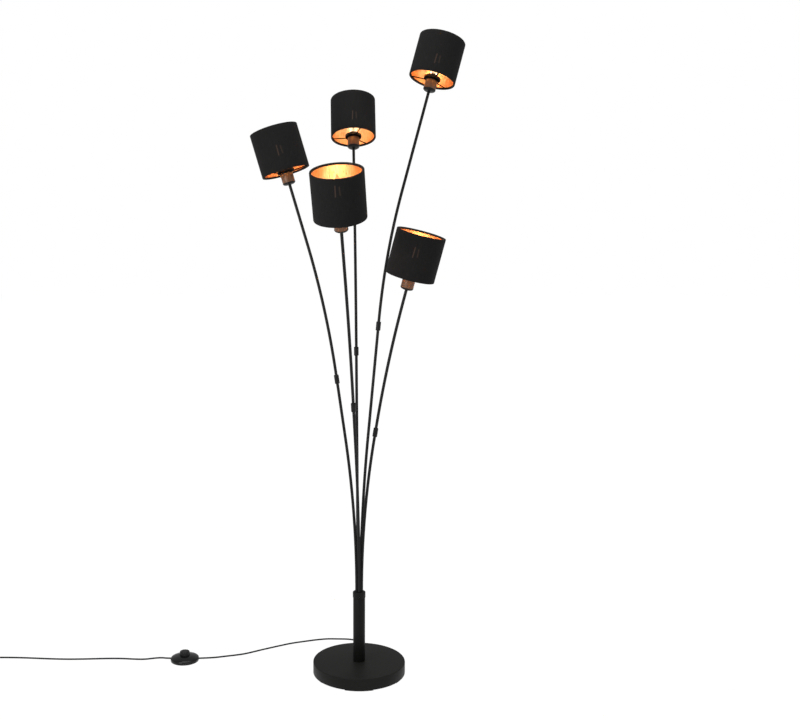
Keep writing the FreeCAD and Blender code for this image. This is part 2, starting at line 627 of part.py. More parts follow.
def cord_bush():
    """Tapered rubber bush that the cord leaves the foot through, gripping the cover's wall."""
    inside = "base_diameter / 2 - cover_wall"
    bore = "cord_diameter / 2 + bush_clearance"
    body = turned("bush", [
        (bore, inside + " - bush_flange"), ("bush_flange_diameter / 2", inside + " - bush_flange"),
        ("bush_flange_diameter / 2", inside + " - bush_seat"), ("bush_neck_diameter / 2", inside + " - bush_seat"),
        ("bush_neck_diameter / 2", "base_diameter / 2"), ("bush_flange_diameter / 2", "base_diameter / 2"),
        ("bush_flange_diameter / 2", "base_diameter / 2 + bush_flange"),
        ("bush_neck_diameter / 2", "base_diameter / 2 + bush_flange"),
        ("bush_tip_diameter / 2", "base_diameter / 2 + bush_length"), (bore, "base_diameter / 2 + bush_length")])
    flat = Placement(Vector(0, 0, size("inner_cord_height")), Rotation(Vector(1, 0, 0), -90))
    node(body, "cord_bush", flat)


# ---------------------------------------------------------------- cord on the floor

# Chosen by hand along the cord on the floor, from the bush to the foot switch.
ROUTE_TO_SWITCH = [
    (0, 150, 10), (0.3, 165, 9.2), (1, 180, 5.8), (1.5, 197, 3), (-2, 215, 2.25), (-16, 229, 2.25),
    (-37, 234.5, 2.25), (-64, 235, 2.25), (-96, 236, 2.25), (-130, 227.5, 2.25), (-165, 214.5, 2.25),
    (-202, 200.5, 2.25), (-246, 174.5, 2.25), (-291, 146.5, 2.25), (-328, 121, 2.25), (-354, 111, 2.25),
    (-384, 102, 2.25), (-412, 92.5, 2.4), (-438, 83.5, 4.4), (-463, 77, 6.2)]
# From the foot switch on past the left end of the stretch that shows, to the coil.
ROUTE_TO_COIL = [
    (-534, 76.8, 6.2), (-550, 81, 4.4), (-566, 89.5, 2.5), (-586, 87, 2.25), (-613, 77.5, 2.25),
    (-645, 79, 2.25), (-680, 83.5, 2.25), (-725, 83, 2.25), (-775, 79, 2.25), (-830, 76.5, 2.25),
    (-885, 79, 2.25), (-935, 84, 2.25), (-985, 87.5, 2.25), (-1030, 88, 2.25), (-1062, 87.2, 2.25),
    (-1085.5, 87, 2.25)]


def floor_cords():
    radius = size("cord_diameter") / 2
    for name, route in (("cord_to_switch", ROUTE_TO_SWITCH), ("cord_to_coil", ROUTE_TO_COIL)):
        points = [Vector(*point) for point in route]
        node(feature(name + "_tube", rounded_route(name, points, radius)), name)


def biarc(start, start_way, end, end_way):
    """Two arcs that leave start along start_way and reach end along end_way, tangent where they meet."""
    span = end - start
    ways = start_way + end_way
    spread = 2 * (1 - start_way.dot(end_way))
    along = span.dot(ways)
    reach = (-along + math.sqrt(along ** 2 + spread * span.dot(span))) / spread
    first = start + start_way * reach
    last = end - end_way * reach
    meet = (first + last) * 0.5
    edges = []
    for tip, corner, other in ((start, first, meet), (meet, last, end)):
        half = (tip + other) * 0.5
        rise = (corner - half).Length
        chord = (other - tip).Length / 2
        bow = math.tan(math.atan2(rise, chord) / 2) * chord
        edges.append(Part.Arc(tip, half + (corner - half).normalize() * bow, other).toShape())
    return edges


def coil_point(turns):
    """A point of the coil: in along the floor layer, up to the top layer in half a turn, and out again."""
    layer = size("coil_turns_per_layer")
    lift = size("cord_diameter") + size("coil_layer_gap")
    climb = min(max((turns - layer) / 0.5, 0), 1)
    height = size("cord_diameter") / 2 + lift * (1 - math.cos(math.pi * climb)) / 2
    turned_back = layer + 0.25
    radius = size("coil_outer_radius") - size("coil_pitch") * (turned_back - abs(turns - turned_back))
    angle = math.pi / 2 + 2 * math.pi * turns
    return Vector(size("coil_x") + radius * math.cos(angle), size("coil_y") + radius * math.sin(angle), height)


COIL_TURNS = 2 * size("coil_turns_per_layer") + 1
LEFT = Vector(-1, 0, 0)


def coil():
    """The put-away length of the cord: one tube in two layers of turns, straight at both ends."""
    quarters = int(COIL_TURNS * 4)
    step = 0.01
    points = [coil_point(i / 4) for i in range(quarters + 1)]
    ways = [(coil_point(i / 4 + step) - coil_point(i / 4 - step)).normalize() for i in range(quarters + 1)]
    ways[0] = LEFT
    ways[-1] = LEFT
    straight = size("cord_diameter")
    edges = [Part.LineSegment(points[0] - LEFT * straight, points[0]).toShape()]
    for i in range(quarters):
        edges += biarc(points[i], ways[i], points[i + 1], ways[i + 1])
    edges.append(Part.LineSegment(points[-1], points[-1] + LEFT * straight).toShape())
    wire = Part.Wire(edges)
    solid = sweep(wire, size("cord_diameter") / 2)
    curved = [edge.Curve.Radius for edge in edges if isinstance(edge.Curve, Part.Circle)]
    section = math.pi * size("cord_diameter") ** 2 / 4
    print("coil: length %.0f, least radius %.1f, volume / (section x length) %.4f, least gap to itself %.2f" % (
        wire.Length, min(curved), solid.Volume / section / wire.Length, gap_to_itself(wire)))
    node(feature("cord_coil_tube", solid), "cord_coil")


def gap_to_itself(wire):
    """The least distance between parts of a cord that lie more than a quarter turn apart, less its diameter."""
    points = wire.discretize(Distance=2.0)
    apart = int(size("coil_outer_radius") * 1.5 / 2.0)
    least = min((a - b).Length for i, a in enumerate(points) for b in points[i + apart:])
    return least - size("cord_diameter")


def plug():
    """Flat two-pin plug lying at the coil's end, with half-sleeved pins."""
    start = coil_point(COIL_TURNS) + LEFT * size("cord_diameter")
    place = Placement(start, Rotation(Vector(0, 0, 1), 180))
    body = doc.addObject("PartDesign::Body", "plug_moulding")
    sketch = sketch_on(body, "plug_outline", "XY_Plane")
    tail = "plug_tail_length"
    outline(sketch, [
        (tail, "-plug_neck_width / 2"), (tail + " + plug_flare", "-plug_body_width / 2"),
        (tail + " + plug_body_length", "-plug_body_width / 2"),
        (tail + " + plug_body_length", "plug_body_width / 2"),
        (tail + " + plug_flare", "plug_body_width / 2"), (tail, "plug_neck_width / 2")])
    pad = body.newObject("PartDesign::Pad", "plug_pad")
    pad.Profile = sketch
    pad.setExpression("Length", bound("3 * cord_diameter + 2 * coil_layer_gap"))
    pad.Midplane = True
    sketch.Visibility = False
    doc.recompute()
    face = size("plug_tail_length") + size("plug_body_length")
    keep = ["Edge%d" % number for number, edge in enumerate(pad.Shape.Edges, start=1)
            if min(vertex.Point.x for vertex in edge.Vertexes) < face - 1]
    rounding = body.newObject("PartDesign::Fillet", "plug_rounding")
    rounding.Base = (pad, keep)
    rounding.setExpression("Radius", bound("plug_round"))
    along = Rotation(Vector(0, 1, 0), 90)
    cone = doc.addObject("Part::Cone", "plug_tail")
    cone.setExpression("Radius1", bound("plug_tail_diameter / 2"))
    cone.setExpression("Radius2", bound("plug_neck_width * 0.36"))
    cone.setExpression("Height", bound("plug_tail_length + plug_round"))
    cone.Placement = Placement(Vector(), along)
    moulding = doc.addObject("Part::Fuse", "plug_body")
    moulding.Base = body
    moulding.Tool = cone
    pieces = [moulding]
    for side in (-1, 1):
        across = side * size("pin_spacing") / 2
        foot = Placement(Vector(face, across, 0), along)
        tip = Placement(Vector(face + size("pin_sleeve_length"), across, 0), along)
        name = "left" if side > 0 else "right"
        pieces.append(cylinder(name + "_pin_sleeve", "pin_sleeve_diameter / 2", "pin_sleeve_length", foot))
        pieces.append(cylinder(name + "_pin", "pin_diameter / 2", "pin_length - pin_sleeve_length", tip))
    node(group("plug_set", pieces), "plug", place)


# ---------------------------------------------------------------- foot switch

def foot_switch():
    """Round foot switch: base shell, domed cover, ribbed button and its return spring."""
    place = Placement(Vector(size("switch_x"), size("switch_y"), 0), Rotation())
    rim = "switch_diameter / 2"
    wall = rim + " - switch_wall"
    hole = "button_diameter / 2 + button_clearance"
    base = turned("switch_shell", [
        ("0", "0"), (rim + " - 1", "0"), (rim, "1"), (rim, "switch_parting"), (wall, "switch_parting"),
        (wall, "switch_wall"), ("switch_post_diameter / 2", "switch_wall"),
        ("switch_post_diameter / 2", "switch_post_height"), ("0", "switch_post_height")])
    rise = "(switch_dome_top - switch_parting)"
    dome = [(1.0, 0.12), (0.97, 0.3), (0.9, 0.48), (0.78, 0.68), (0.62, 0.85), (0.48, 0.95)]
    crown = [(rim + " * %g" % r, "switch_parting + %s * %g" % (rise, up)) for r, up in dome]
    vault = [("(%s) * %g" % (wall, r), "switch_parting + %s * %g - switch_wall * %g" % (rise, up, min(1, up * 2)))
             for r, up in dome[1:]]
    cover = turned("switch_dome", [(wall, "switch_parting"), (rim, "switch_parting")] + crown + [
        (hole, "switch_dome_top"), (hole, "switch_dome_top - switch_wall")] + vault[::-1])
    holes = []
    for start, end in (ROUTE_TO_SWITCH[-2:], ROUTE_TO_COIL[1::-1]):
        run = Vector(*start) - Vector(*end)
        spot = Vector(*end) - Vector(size("switch_x"), size("switch_y"), 0)
        holes.append((Rotation(Vector(0, 0, 1), run), spot))
    for name, shell in (("switch_base", base), ("switch_cover", cover)):
        tools = [cylinder("%s_cord_hole_%d" % (name, i), "cord_diameter / 2", "12", Placement(spot, turn))
                 for i, (turn, spot) in enumerate(holes)]
        node(cut(name + "_drilled", shell, tools), name, place)
    foot = "switch_dome_top - switch_wall - button_clearance - button_flange"
    inner = "button_diameter / 2 - button_wall"
    roof = "button_top - button_roof"
    cap = turned("button_cap", [
        ("0", "button_top"), ("button_diameter / 2 - 1.5", "button_top"),
        ("button_diameter / 2", "button_top - 1.5"), ("button_diameter / 2", foot + " + button_flange"),
        ("button_diameter / 2 + button_flange", foot + " + button_flange"),
        ("button_diameter / 2 + button_flange", foot), (inner, foot), (inner, roof), ("0", roof)])
    low = size("switch_dome_top") + 1
    grooves = []
    for i in range(int(size("button_rib_count"))):
        spot = Placement(polar(size("button_diameter") / 2 + 0.9, 360 * i / size("button_rib_count"), low),
                         Rotation())
        grooves.append(cylinder("button_groove_%d" % i, "button_rib_diameter / 2", "button_top", spot))
    node(cut("button_ribbed", cap, grooves), "switch_button", place)
    height = size("button_top") - size("button_roof") - size("switch_wall") - size("spring_wire") \
        - 2 * size("spring_clearance")
    radius = (size("spring_diameter") - size("spring_wire")) / 2
    helix = Part.makeHelix(height / size("spring_turns"), height, radius)
    first = helix.Edges[0]
    ring = Part.Wire([Part.makeCircle(size("spring_wire") / 2, first.valueAt(first.FirstParameter),
                                      first.tangentAt(first.FirstParameter))])
    spring = Part.Wire(helix.Edges).makePipeShell([ring], True, True)
    seat = Vector(0, 0, size("switch_wall") + size("spring_wire") / 2 + size("spring_clearance"))
    node(feature("return_spring", spring, place.multiply(Placement(seat, Rotation()))), "switch_spring")


# ---------------------------------------------------------------- build and write

def build():
    foot_cover()
    foot_weight()
    foot_plate_and_pads()
    tie_pipe_and_nut()
    column()
    arm_block()
    arms()
    terminal_block()
    inner_leads()
    cord_bush()
    floor_cords()
    coil()
    plug()
    foot_switch()


build()
doc.recompute()
faults = [obj.Name for obj in doc.Objects if "Invalid" in obj.State or "Error" in obj.State]
faults += [obj.Label for obj in NODES if obj.Shape.isNull() or not obj.Shape.isValid()]
if faults:
    raise RuntimeError("failed pieces: " + ", ".join(faults))
os.makedirs("parts", exist_ok=True)
for obj in NODES:
    obj.Shape.exportStep("parts/%s.step" % obj.Label)
print("%d nodes, %d solids" % (len(NODES), sum(len(obj.Shape.Solids) for obj in NODES)))
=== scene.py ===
"""Tree floor lamp with five curved arms: the looks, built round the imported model.

Sizes in the tables are millimetres, as in the lamp's source; every finished piece is in metres.
+Z is up, -Y is the front, and the origin is on the floor at the centre of the foot.
"""
import bmesh
import bpy
import math
from mathutils import Matrix, Vector


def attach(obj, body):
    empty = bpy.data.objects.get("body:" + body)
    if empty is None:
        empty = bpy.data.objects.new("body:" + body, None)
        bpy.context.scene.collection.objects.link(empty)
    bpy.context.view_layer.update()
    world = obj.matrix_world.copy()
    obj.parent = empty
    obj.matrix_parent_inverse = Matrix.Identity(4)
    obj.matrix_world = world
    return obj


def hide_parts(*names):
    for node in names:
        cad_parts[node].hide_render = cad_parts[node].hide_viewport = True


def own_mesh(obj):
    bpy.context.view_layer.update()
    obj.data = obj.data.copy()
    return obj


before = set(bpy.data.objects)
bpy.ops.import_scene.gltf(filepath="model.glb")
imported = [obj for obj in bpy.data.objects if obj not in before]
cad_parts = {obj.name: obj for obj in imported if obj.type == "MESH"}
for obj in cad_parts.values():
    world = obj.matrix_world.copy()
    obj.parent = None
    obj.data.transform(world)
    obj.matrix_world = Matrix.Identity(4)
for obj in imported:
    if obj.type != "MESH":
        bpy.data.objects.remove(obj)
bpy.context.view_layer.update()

MM = 0.001
METRES = Matrix.Scale(MM, 4)
FULL_TURN = 2 * math.pi

# ---------------------------------------------------------------- camera

CAMERA_PLACE = (0.0, -2.651, 1.1394)
CAMERA_PITCH = 0.095
CAMERA_YAW = 0.008
FOCAL_PIXELS = 989.5
PICTURE = (800, 720)
PRINCIPAL_POINT = (351.44, 354.07)
SENSOR = 36.0

lens = bpy.data.cameras.new("camera")
lens.sensor_width = SENSOR
lens.lens = FOCAL_PIXELS / PICTURE[0] * SENSOR
lens.shift_x = (PICTURE[0] / 2 - PRINCIPAL_POINT[0]) / PICTURE[0]
lens.shift_y = (PRINCIPAL_POINT[1] - PICTURE[1] / 2) / PICTURE[0]
camera = bpy.data.objects.new("camera", lens)
camera.location = CAMERA_PLACE
camera.rotation_euler = (math.pi / 2 - CAMERA_PITCH, 0, CAMERA_YAW)
bpy.context.scene.collection.objects.link(camera)
bpy.context.scene.camera = camera

# ---------------------------------------------------------------- the lamp's sizes

BORE_CIRCLE = 7.3
COLUMN_TOP = 230.5
TUBE_RADIUS = 4
TUBE_BELOW_BLOCK_TOP = 46
LOWER_ARC = 430
UPPER_ARC = 360
UPPER_START = 15
CUP_GRIP = 4.8

# bearings of the bore and of the lean, straight lengths, bends, and bearing of the first spoke
ARMS = {
    "front": {
        "bore": -90, "turn": -99.7, "lower": 105.4, "upper": 105.5, "bend": 16.2, "rise": 6.8,
        "spoke": 60},
    "low": {
        "bore": -18, "turn": -30.5, "lower": 20, "upper": 20, "bend": 10.3, "rise": 6.2,
        "spoke": 60},
    "high": {
        "bore": 54, "turn": 34.5, "lower": 302, "upper": 290, "bend": 6.4, "rise": 11.8,
        "spoke": 43},
    "middle": {
        "bore": 126, "turn": 93, "lower": 232, "upper": 222, "bend": 9.9, "rise": 9.2,
        "spoke": 50},
    "left": {
        "bore": 198, "turn": 172.7, "lower": 160.7, "upper": 161.7, "bend": 8.3, "rise": 8.4,
        "spoke": -3},
}


def polar(radius, degrees, height=0.0):
    angle = math.radians(degrees)
    return Vector((radius * math.cos(angle), radius * math.sin(angle), height))


def about_z(degrees):
    return Matrix.Rotation(math.radians(degrees), 4, "Z")


def leaning(point, tilt):
    """Z along the arm, at a point of the arm's plane."""
    return Matrix.Translation(point) @ Matrix.Rotation(tilt, 4, "Y")


def along(tilt):
    """The direction of an arm that leans this far, in the arm's plane."""
    return Vector((math.sin(tilt), 0, math.cos(tilt)))


def after_run(point, tilt, length):
    return point + along(tilt) * length


def after_bend(point, tilt, length, degrees):
    turn = math.radians(degrees)
    radius = length / turn
    lean = tilt + turn
    shift = Vector((math.cos(tilt) - math.cos(lean), 0, math.sin(lean) - math.sin(tilt)))
    return point + shift * radius, lean


def arm_places(arm):
    """The places of the arm's plane, its coupler and its lampholder.

    The coupler's point and lean in the arm's plane follow.
    """
    stand = Matrix.Translation(polar(BORE_CIRCLE, arm["bore"], COLUMN_TOP)) @ about_z(arm["turn"])
    bent, tilt = after_bend(Vector(), 0.0, LOWER_ARC, arm["bend"])
    joint = after_run(bent, tilt, arm["lower"])
    start = after_run(joint, tilt, UPPER_START)
    bent, end_tilt = after_bend(start, tilt, UPPER_ARC, arm["rise"])
    end = after_run(bent, end_tilt, arm["upper"])
    return stand, stand @ leaning(joint, tilt), stand @ leaning(end, end_tilt), joint, tilt


# ---------------------------------------------------------------- finishes


class Value:
    """A socket of a node. Arithmetic on it adds Math nodes."""

    def __init__(self, nodes, socket):
        self.nodes = nodes
        self.socket = socket

    def beside(self, output):
        """Another output of the same node."""
        return Value(self.nodes, self.socket.node.outputs[output])

    def _math(self, operation, *values):
        return self.nodes.node("ShaderNodeMath", {"operation": operation}, dict(enumerate(values)))

    def __add__(self, other):
        return self._math("ADD", self, other)

    def __sub__(self, other):
        return self._math("SUBTRACT", self, other)

    def __mul__(self, other):
        return self._math("MULTIPLY", self, other)

    def __truediv__(self, other):
        return self._math("DIVIDE", self, other)

    def __rsub__(self, other):
        return self._math("SUBTRACT", other, self)

    def __neg__(self):
        return self._math("MULTIPLY", self, -1.0)

    __radd__ = __add__
    __rmul__ = __mul__

    def sine(self):
        return self._math("SINE", self)

    def size(self):
        return self._math("ABSOLUTE", self)

    def at_least(self, low):
        return self._math("MAXIMUM", self, low)

    def at_most(self, high):
        return self._math("MINIMUM", self, high)

    def exponential(self):
        return self._math("EXPONENT", self)


class Nodes:
    """The nodes of a material or a world, and the one method that adds them."""

    def __init__(self, owner, output):
        owner.use_nodes = True
        self.tree = owner.node_tree
        self.tree.nodes.clear()
        self.surface = self.tree.nodes.new(output).inputs["Surface"]

    def node(self, kind, settings=None, inputs=None, output=0):
        made = self.tree.nodes.new(kind)
        for key, value in (settings or {}).items():
            if key == "stops":
                self.set_stops(made.color_ramp, value)
            else:
                setattr(made, key, value)
        for key, value in (inputs or {}).items():
            self.feed(made.inputs[key], value)
        return Value(self, made.outputs[output])

    @staticmethod
    def set_stops(bar, stops):
        while len(bar.elements) < len(stops):
            bar.elements.new(0.5)
        for element, (spot, colour) in zip(bar.elements, stops):
            element.position = spot
            element.color = (*colour, 1.0)

    def feed(self, socket, value):
        if isinstance(value, Value):
            self.tree.links.new(value.socket, socket)
        elif socket.type == "RGBA":
            socket.default_value = (*value, 1.0)
        else:
            socket.default_value = value


class Finish(Nodes):
    """A material with one Principled shader; what is the same all over is set on its own sockets."""

    def __init__(self, name, **fixed):
        self.material = bpy.data.materials.new(name)
        super().__init__(self.material, "ShaderNodeOutputMaterial")
        self.shader = self.tree.nodes.new("ShaderNodeBsdfPrincipled")
        self.tree.links.new(self.shader.outputs[0], self.surface)
        for socket, value in fixed.items():
            self.shader.inputs[socket.replace("_", " ")].default_value = value

    def set(self, **links):
        for socket, value in links.items():
            self.feed(self.shader.inputs[socket.replace("_", " ")], value)

    def place(self):
        return self.node("ShaderNodeTexCoord", output="Object")

    def uv(self, name):
        """The across and up coordinates of one of the piece's own maps."""
        across = self.node("ShaderNodeSeparateXYZ", inputs={
            0: self.node("ShaderNodeUVMap", {"uv_map": name})})
        return across, across.beside(1)

    def flat_place(self, across, up):
        """A place for a noise on a map, drawn out along one of its directions."""
        return self.node("ShaderNodeCombineXYZ", inputs={0: across, 1: up})

    def noise(self, scale, detail=2.0, vector=None):
        return self.node("ShaderNodeTexNoise", inputs={
            "Vector": vector or self.place(), "Scale": scale, "Detail": detail})

    def ramp(self, value, stops):
        return self.node("ShaderNodeValToRGB", {"stops": stops}, {0: value})

    def blend(self, share, first, second):
        return self.node("ShaderNodeMix", {"data_type": "RGBA"}, {0: share, 6: first, 7: second}, output=2)

    def bump(self, height, distance, strength=1.0):
        self.set(Normal=self.node("ShaderNodeBump", inputs={
            "Height": height, "Distance": distance, "Strength": strength}))


def shade_of(red, green, blue):
    """A linear colour from the usual 0 to 255 values."""
    return tuple(c / 255 / 12.92 if c <= 10 else ((c / 255 + 0.055) / 1.055) ** 2.4
                 for c in (red, green, blue))


def black_coat(name, low, high, roughness, grain, sheen, pebble):
    """Black powder coat: a fine pebbled skin, with slightly lighter and glossier places."""
    coat = Finish(name, Specular_IOR_Level=sheen)
    cloud = coat.noise(9.0, 3.0)
    fine = coat.noise(grain, 3.0)
    coat.set(Base_Color=coat.ramp(cloud * 0.6 + fine * 0.4, [(0.35, low), (0.65, high)]),
             Roughness=fine * 0.16 + cloud * 0.08 + (roughness - 0.12))
    coat.bump(fine, pebble, 0.5)
    return coat.material


def zinc():
    metal = Finish("zinc", Metallic=1.0)
    spots = metal.noise(2600.0, 2.0)
    metal.set(Base_Color=metal.ramp(spots, [
        (0.3, shade_of(150, 148, 142)), (0.7, shade_of(196, 194, 188))]), Roughness=spots * 0.2 + 0.22)
    metal.bump(spots, 0.00003, 0.5)
    return metal.material


def cast_iron():
    iron = Finish("cast_iron", Metallic=0.6)
    sand = iron.noise(520.0, 5.0)
    iron.set(Base_Color=iron.ramp(sand, [(0.3, shade_of(62, 60, 58)), (0.7, shade_of(98, 94, 90))]),
             Roughness=sand * 0.25 + 0.55)
    iron.bump(sand, 0.0006, 0.7)
    return iron.material


def pad_foam():
    foam = Finish("pad_foam")
    cells = foam.node("ShaderNodeTexVoronoi", inputs={"Vector": foam.place(), "Scale": 1400.0})
    foam.set(Base_Color=foam.ramp(cells, [(0.0, shade_of(20, 20, 21)), (0.8, shade_of(44, 44, 45))]),
             Roughness=cells * 0.1 + 0.85)
    foam.bump(cells, 0.0003, 0.6)
    return foam.material


def moulded(name, low, high, roughness, texture=0.00004, sheen=0.35):
    """Smooth moulded plastic or rubber with a faint mottle and polish marks."""
    plastic = Finish(name, Specular_IOR_Level=sheen)
    mottle = plastic.noise(60.0, 4.0)
    fine = plastic.noise(1800.0, 2.0)
    plastic.set(Base_Color=plastic.ramp(mottle, [(0.35, low), (0.65, high)]),
                Roughness=mottle * 0.1 + fine * 0.08 + (roughness - 0.09))
    plastic.bump(fine, texture, 0.5)
    return plastic.material


def bronze_sleeve():
    """Brown sleeve with fine upright streaks."""
    sleeve = Finish("bronze_sleeve", Metallic=0.15, Specular_IOR_Level=0.4)
    across, up = sleeve.uv("turned")
    streaks = sleeve.noise(1.0, 4.0, sleeve.flat_place(across * 60.0, up * 3.0))
    mottle = sleeve.noise(140.0, 3.0)
    sleeve.set(Base_Color=sleeve.ramp(streaks * 0.65 + mottle * 0.35, [
        (0.3, shade_of(80, 56, 38)), (0.5, shade_of(108, 76, 52)), (0.72, shade_of(132, 95, 66))]),
        Roughness=streaks * 0.2 + 0.3)
    sleeve.bump(streaks, 0.00006, 0.5)
    return sleeve.material


# threads round the shade, and mm from one thread across to the next
WEAVE_THREADS = 340
WEAVE_COURSE = 1.2
# painted filament glow on the cloth: across at the middle, lean, half width, half length and strength, in mm
# on the shade's face
PAINTED_FILAMENT_GLOW = [(0.0, 0.03, 1.4, 15.0, 1.0), (10.5, -0.05, 1.8, 12.0, 0.45)]


def woven_shade():
    """Black plain-weave cloth, with faint warm streaks painted on it as a glow where the bulb's filaments
    would show through.
    """
    cloth = Finish("woven_shade", Specular_IOR_Level=0.12)
    across, up = cloth.uv("turned")
    warp = across * (WEAVE_THREADS * math.pi)
    weft = up * (math.pi / WEAVE_COURSE)
    over = warp.sine() * weft.sine()
    thread = (warp * 2.0).sine() * 0.5 + (weft * 2.0).sine() * 0.5
    slubs = cloth.noise(1.0, 4.0, cloth.flat_place(across * 34.0, up * 1.1))
    upright = cloth.noise(1.0, 3.0, cloth.flat_place(across * 190.0, up * 0.05))
    tone = over * 0.16 + slubs * 0.45 + upright * 0.3 + 0.08
    cloth.set(Base_Color=cloth.ramp(tone, [
        (0.25, shade_of(20, 19, 19)), (0.5, shade_of(30, 29, 29)), (0.8, shade_of(44, 43, 42))]),
        Roughness=slubs * 0.12 + 0.78)
    cloth.bump(over * 0.5 + thread * 0.25 + slubs * 0.4, 0.00018, 0.8)
    # painted glow: the cloth itself emits faint warm streaks where the bulb's filaments would show through it
    side, rise = cloth.uv("glow")
    streaks = None
    for foot, lean, width, length, strength in PAINTED_FILAMENT_GLOW:
        off = (side - (rise * lean + foot)) / width
        reach = ((rise.size() - length) * -0.4).at_least(0.0).at_most(1.0)
        streak = (-(off * off)).exponential() * reach * strength
        streaks = streak if streaks is None else streaks + streak
    cloth.set(Emission_Color=cloth.blend(streaks, (0.0, 0.0, 0.0), shade_of(176, 138, 116)),
              Emission_Strength=0.1)
    return cloth.material


# how high up the shade the lining's painted glow is brightest, and how far from there it stays bright, in mm
PAINTED_GLOW_HEIGHT = 100.0
PAINTED_GLOW_SPREAD = 46.0


def gold_foil():
    """Satin gold lining, lit from within by the bulb's light, with a painted glow added that is brightest at
    the bulb's height.
    """
    foil = Finish("gold_foil", Metallic=1.0)
    across, up = foil.uv("turned")
    brush = foil.noise(1.0, 3.0, foil.flat_place(across * 150.0, up * 0.06))
    foil.set(Base_Color=foil.ramp(brush, [
        (0.3, shade_of(232, 180, 130)), (0.7, shade_of(250, 210, 166))]), Roughness=brush * 0.1 + 0.24)
    foil.bump(brush, 0.00002, 0.15)
    # painted glow: the lining emits a warm light of its own, standing in for the bulb's light on it
    height = (up - PAINTED_GLOW_HEIGHT) / PAINTED_GLOW_SPREAD
    painted_glow_share = (-(height * height)).exponential() * 0.55 + 0.45
    foil.set(Emission_Color=foil.blend(painted_glow_share, shade_of(120, 52, 14), shade_of(250, 160, 82)),
             Emission_Strength=0.12)
    return foil.material


def bulb_glass():
    glass = Finish("bulb_glass", Transmission_Weight=1.0, IOR=1.1)
    haze = glass.noise(40.0, 2.0)
    glass.set(Base_Color=glass.ramp(haze, [(0.0, (1.0, 0.95, 0.86)), (1.0, (1.0, 0.98, 0.93))]),
              Roughness=haze * 0.03 + 0.01)
    return glass.material


def filament_glow():
    glow = Finish("filament_glow", Emission_Strength=30.0)
    phosphor = glow.noise(900.0, 1.0)
    glow.set(Base_Color=glow.ramp(phosphor, [
        (0.0, shade_of(250, 190, 90)), (1.0, shade_of(255, 214, 130))]),
        Emission_Color=glow.ramp(phosphor, [(0.0, (1.0, 0.62, 0.3)), (1.0, (1.0, 0.78, 0.48))]))
    glow.material.cycles.emission_sampling = "NONE"
    return glow.material


def flex_sheath():
    sheath = Finish("flex_sheath", Specular_IOR_Level=0.15)
    skin = sheath.noise(700.0, 3.0)
    broad = sheath.noise(30.0, 2.0)
    sheath.set(Base_Color=sheath.ramp(broad * 0.6 + skin * 0.4, [
        (0.35, shade_of(15, 15, 16)), (0.65, shade_of(25, 25, 26))]), Roughness=skin * 0.16 + 0.34)
    sheath.bump(skin, 0.00008, 0.5)
    return sheath.material


# darkest and lightest place, roughness, grain, sheen, height of the pebbles in metres
COAT_BASE = black_coat("foot_coat", shade_of(25, 25, 24), shade_of(33, 33, 32),
                       0.5, 1500.0, 0.09, 0.00006)
COAT_COLUMN = black_coat("column_coat", shade_of(16, 16, 15), shade_of(23, 23, 22),
                         0.5, 1500.0, 0.14, 0.00006)
COAT_ARM = black_coat("arm_coat", shade_of(17, 17, 17), shade_of(24, 24, 24),
                      0.4, 1900.0, 0.18, 0.00003)
WIRE_COAT = black_coat("wire_coat", shade_of(5, 5, 5), shade_of(9, 8, 8), 0.8, 1900.0, 0.03, 0.00012)
ZINC = zinc()
IRON = cast_iron()
PAD_FOAM = pad_foam()
# darkest and lightest place, roughness, height of the texture in metres, sheen
HOLDER_BLACK = moulded("holder_black", shade_of(10, 10, 10), shade_of(17, 17, 17), 0.42, 0.00002, 0.2)
SWITCH_BLACK = moulded("switch_black", shade_of(9, 9, 10), shade_of(15, 15, 16), 0.2, 0.00002, 0.3)
BUTTON_BLACK = moulded("button_black", shade_of(14, 14, 15), shade_of(22, 22, 23), 0.42, 0.00004, 0.28)
PLUG_BLACK = moulded("plug_black", shade_of(17, 17, 18), shade_of(27, 27, 28), 0.44, 0.0001)
BUSH_BLACK = moulded("bush_black", shade_of(14, 14, 14), shade_of(23, 23, 23), 0.5, 0.0001)
CERAMIC = moulded("insulation_white", shade_of(205, 202, 192), shade_of(222, 219, 210), 0.35)
SLEEVE_BROWN = bronze_sleeve()
SHADE_CLOTH = woven_shade()
GOLD_FOIL = gold_foil()
BULB_GLASS = bulb_glass()
FILAMENT_GLOW = filament_glow()
FLEX_SHEATH = flex_sheath()

# ---------------------------------------------------------------- making shapes


SLACK = 0.02


def ring_edges(bm, height, radius=None):
    """Edges that lie level at this height, and at this radius where one is given."""
    found = []
    for edge in bm.edges:
        first, second = (v.co for v in edge.verts)
        if abs(first.z - height) > SLACK or abs(second.z - height) > SLACK:
            continue
        if radius is None or all(abs(math.hypot(p.x, p.y) - radius) < SLACK for p in (first, second)):
            found.append(edge)
    return found


def spun(profile, steps=64, closed=False, bm=None, place=None, turn=FULL_TURN):
    """A turned shape from (radius, height) points."""
    bm = bm or bmesh.new()
    old = set(bm.verts)
    verts = [bm.verts.new((radius, 0, height)) for radius, height in profile]
    pairs = list(zip(verts, verts[1:]))
    if closed:
        pairs.append((verts[-1], verts[0]))
    edges = [bm.edges.new(pair) for pair in pairs]
    full = abs(turn - FULL_TURN) < 1e-6
    bmesh.ops.spin(bm, geom=verts + edges, cent=(0, 0, 0), axis=(0, 0, 1), angle=turn, steps=steps,
                   use_merge=full, use_duplicate=False)
    new = [v for v in bm.verts if v not in old]
    bmesh.ops.remove_doubles(bm, verts=new, dist=0.001)
    new = [v for v in bm.verts if v not in old]
    if place is not None:
        bmesh.ops.transform(bm, matrix=place, verts=new)
    return bm


def rounded(bm, edges, offset, segments=3):
    bmesh.ops.bevel(bm, geom=edges, offset=offset, offset_type="OFFSET", segments=segments, profile=0.5,
                    affect="EDGES", clamp_overlap=True, material=-1)


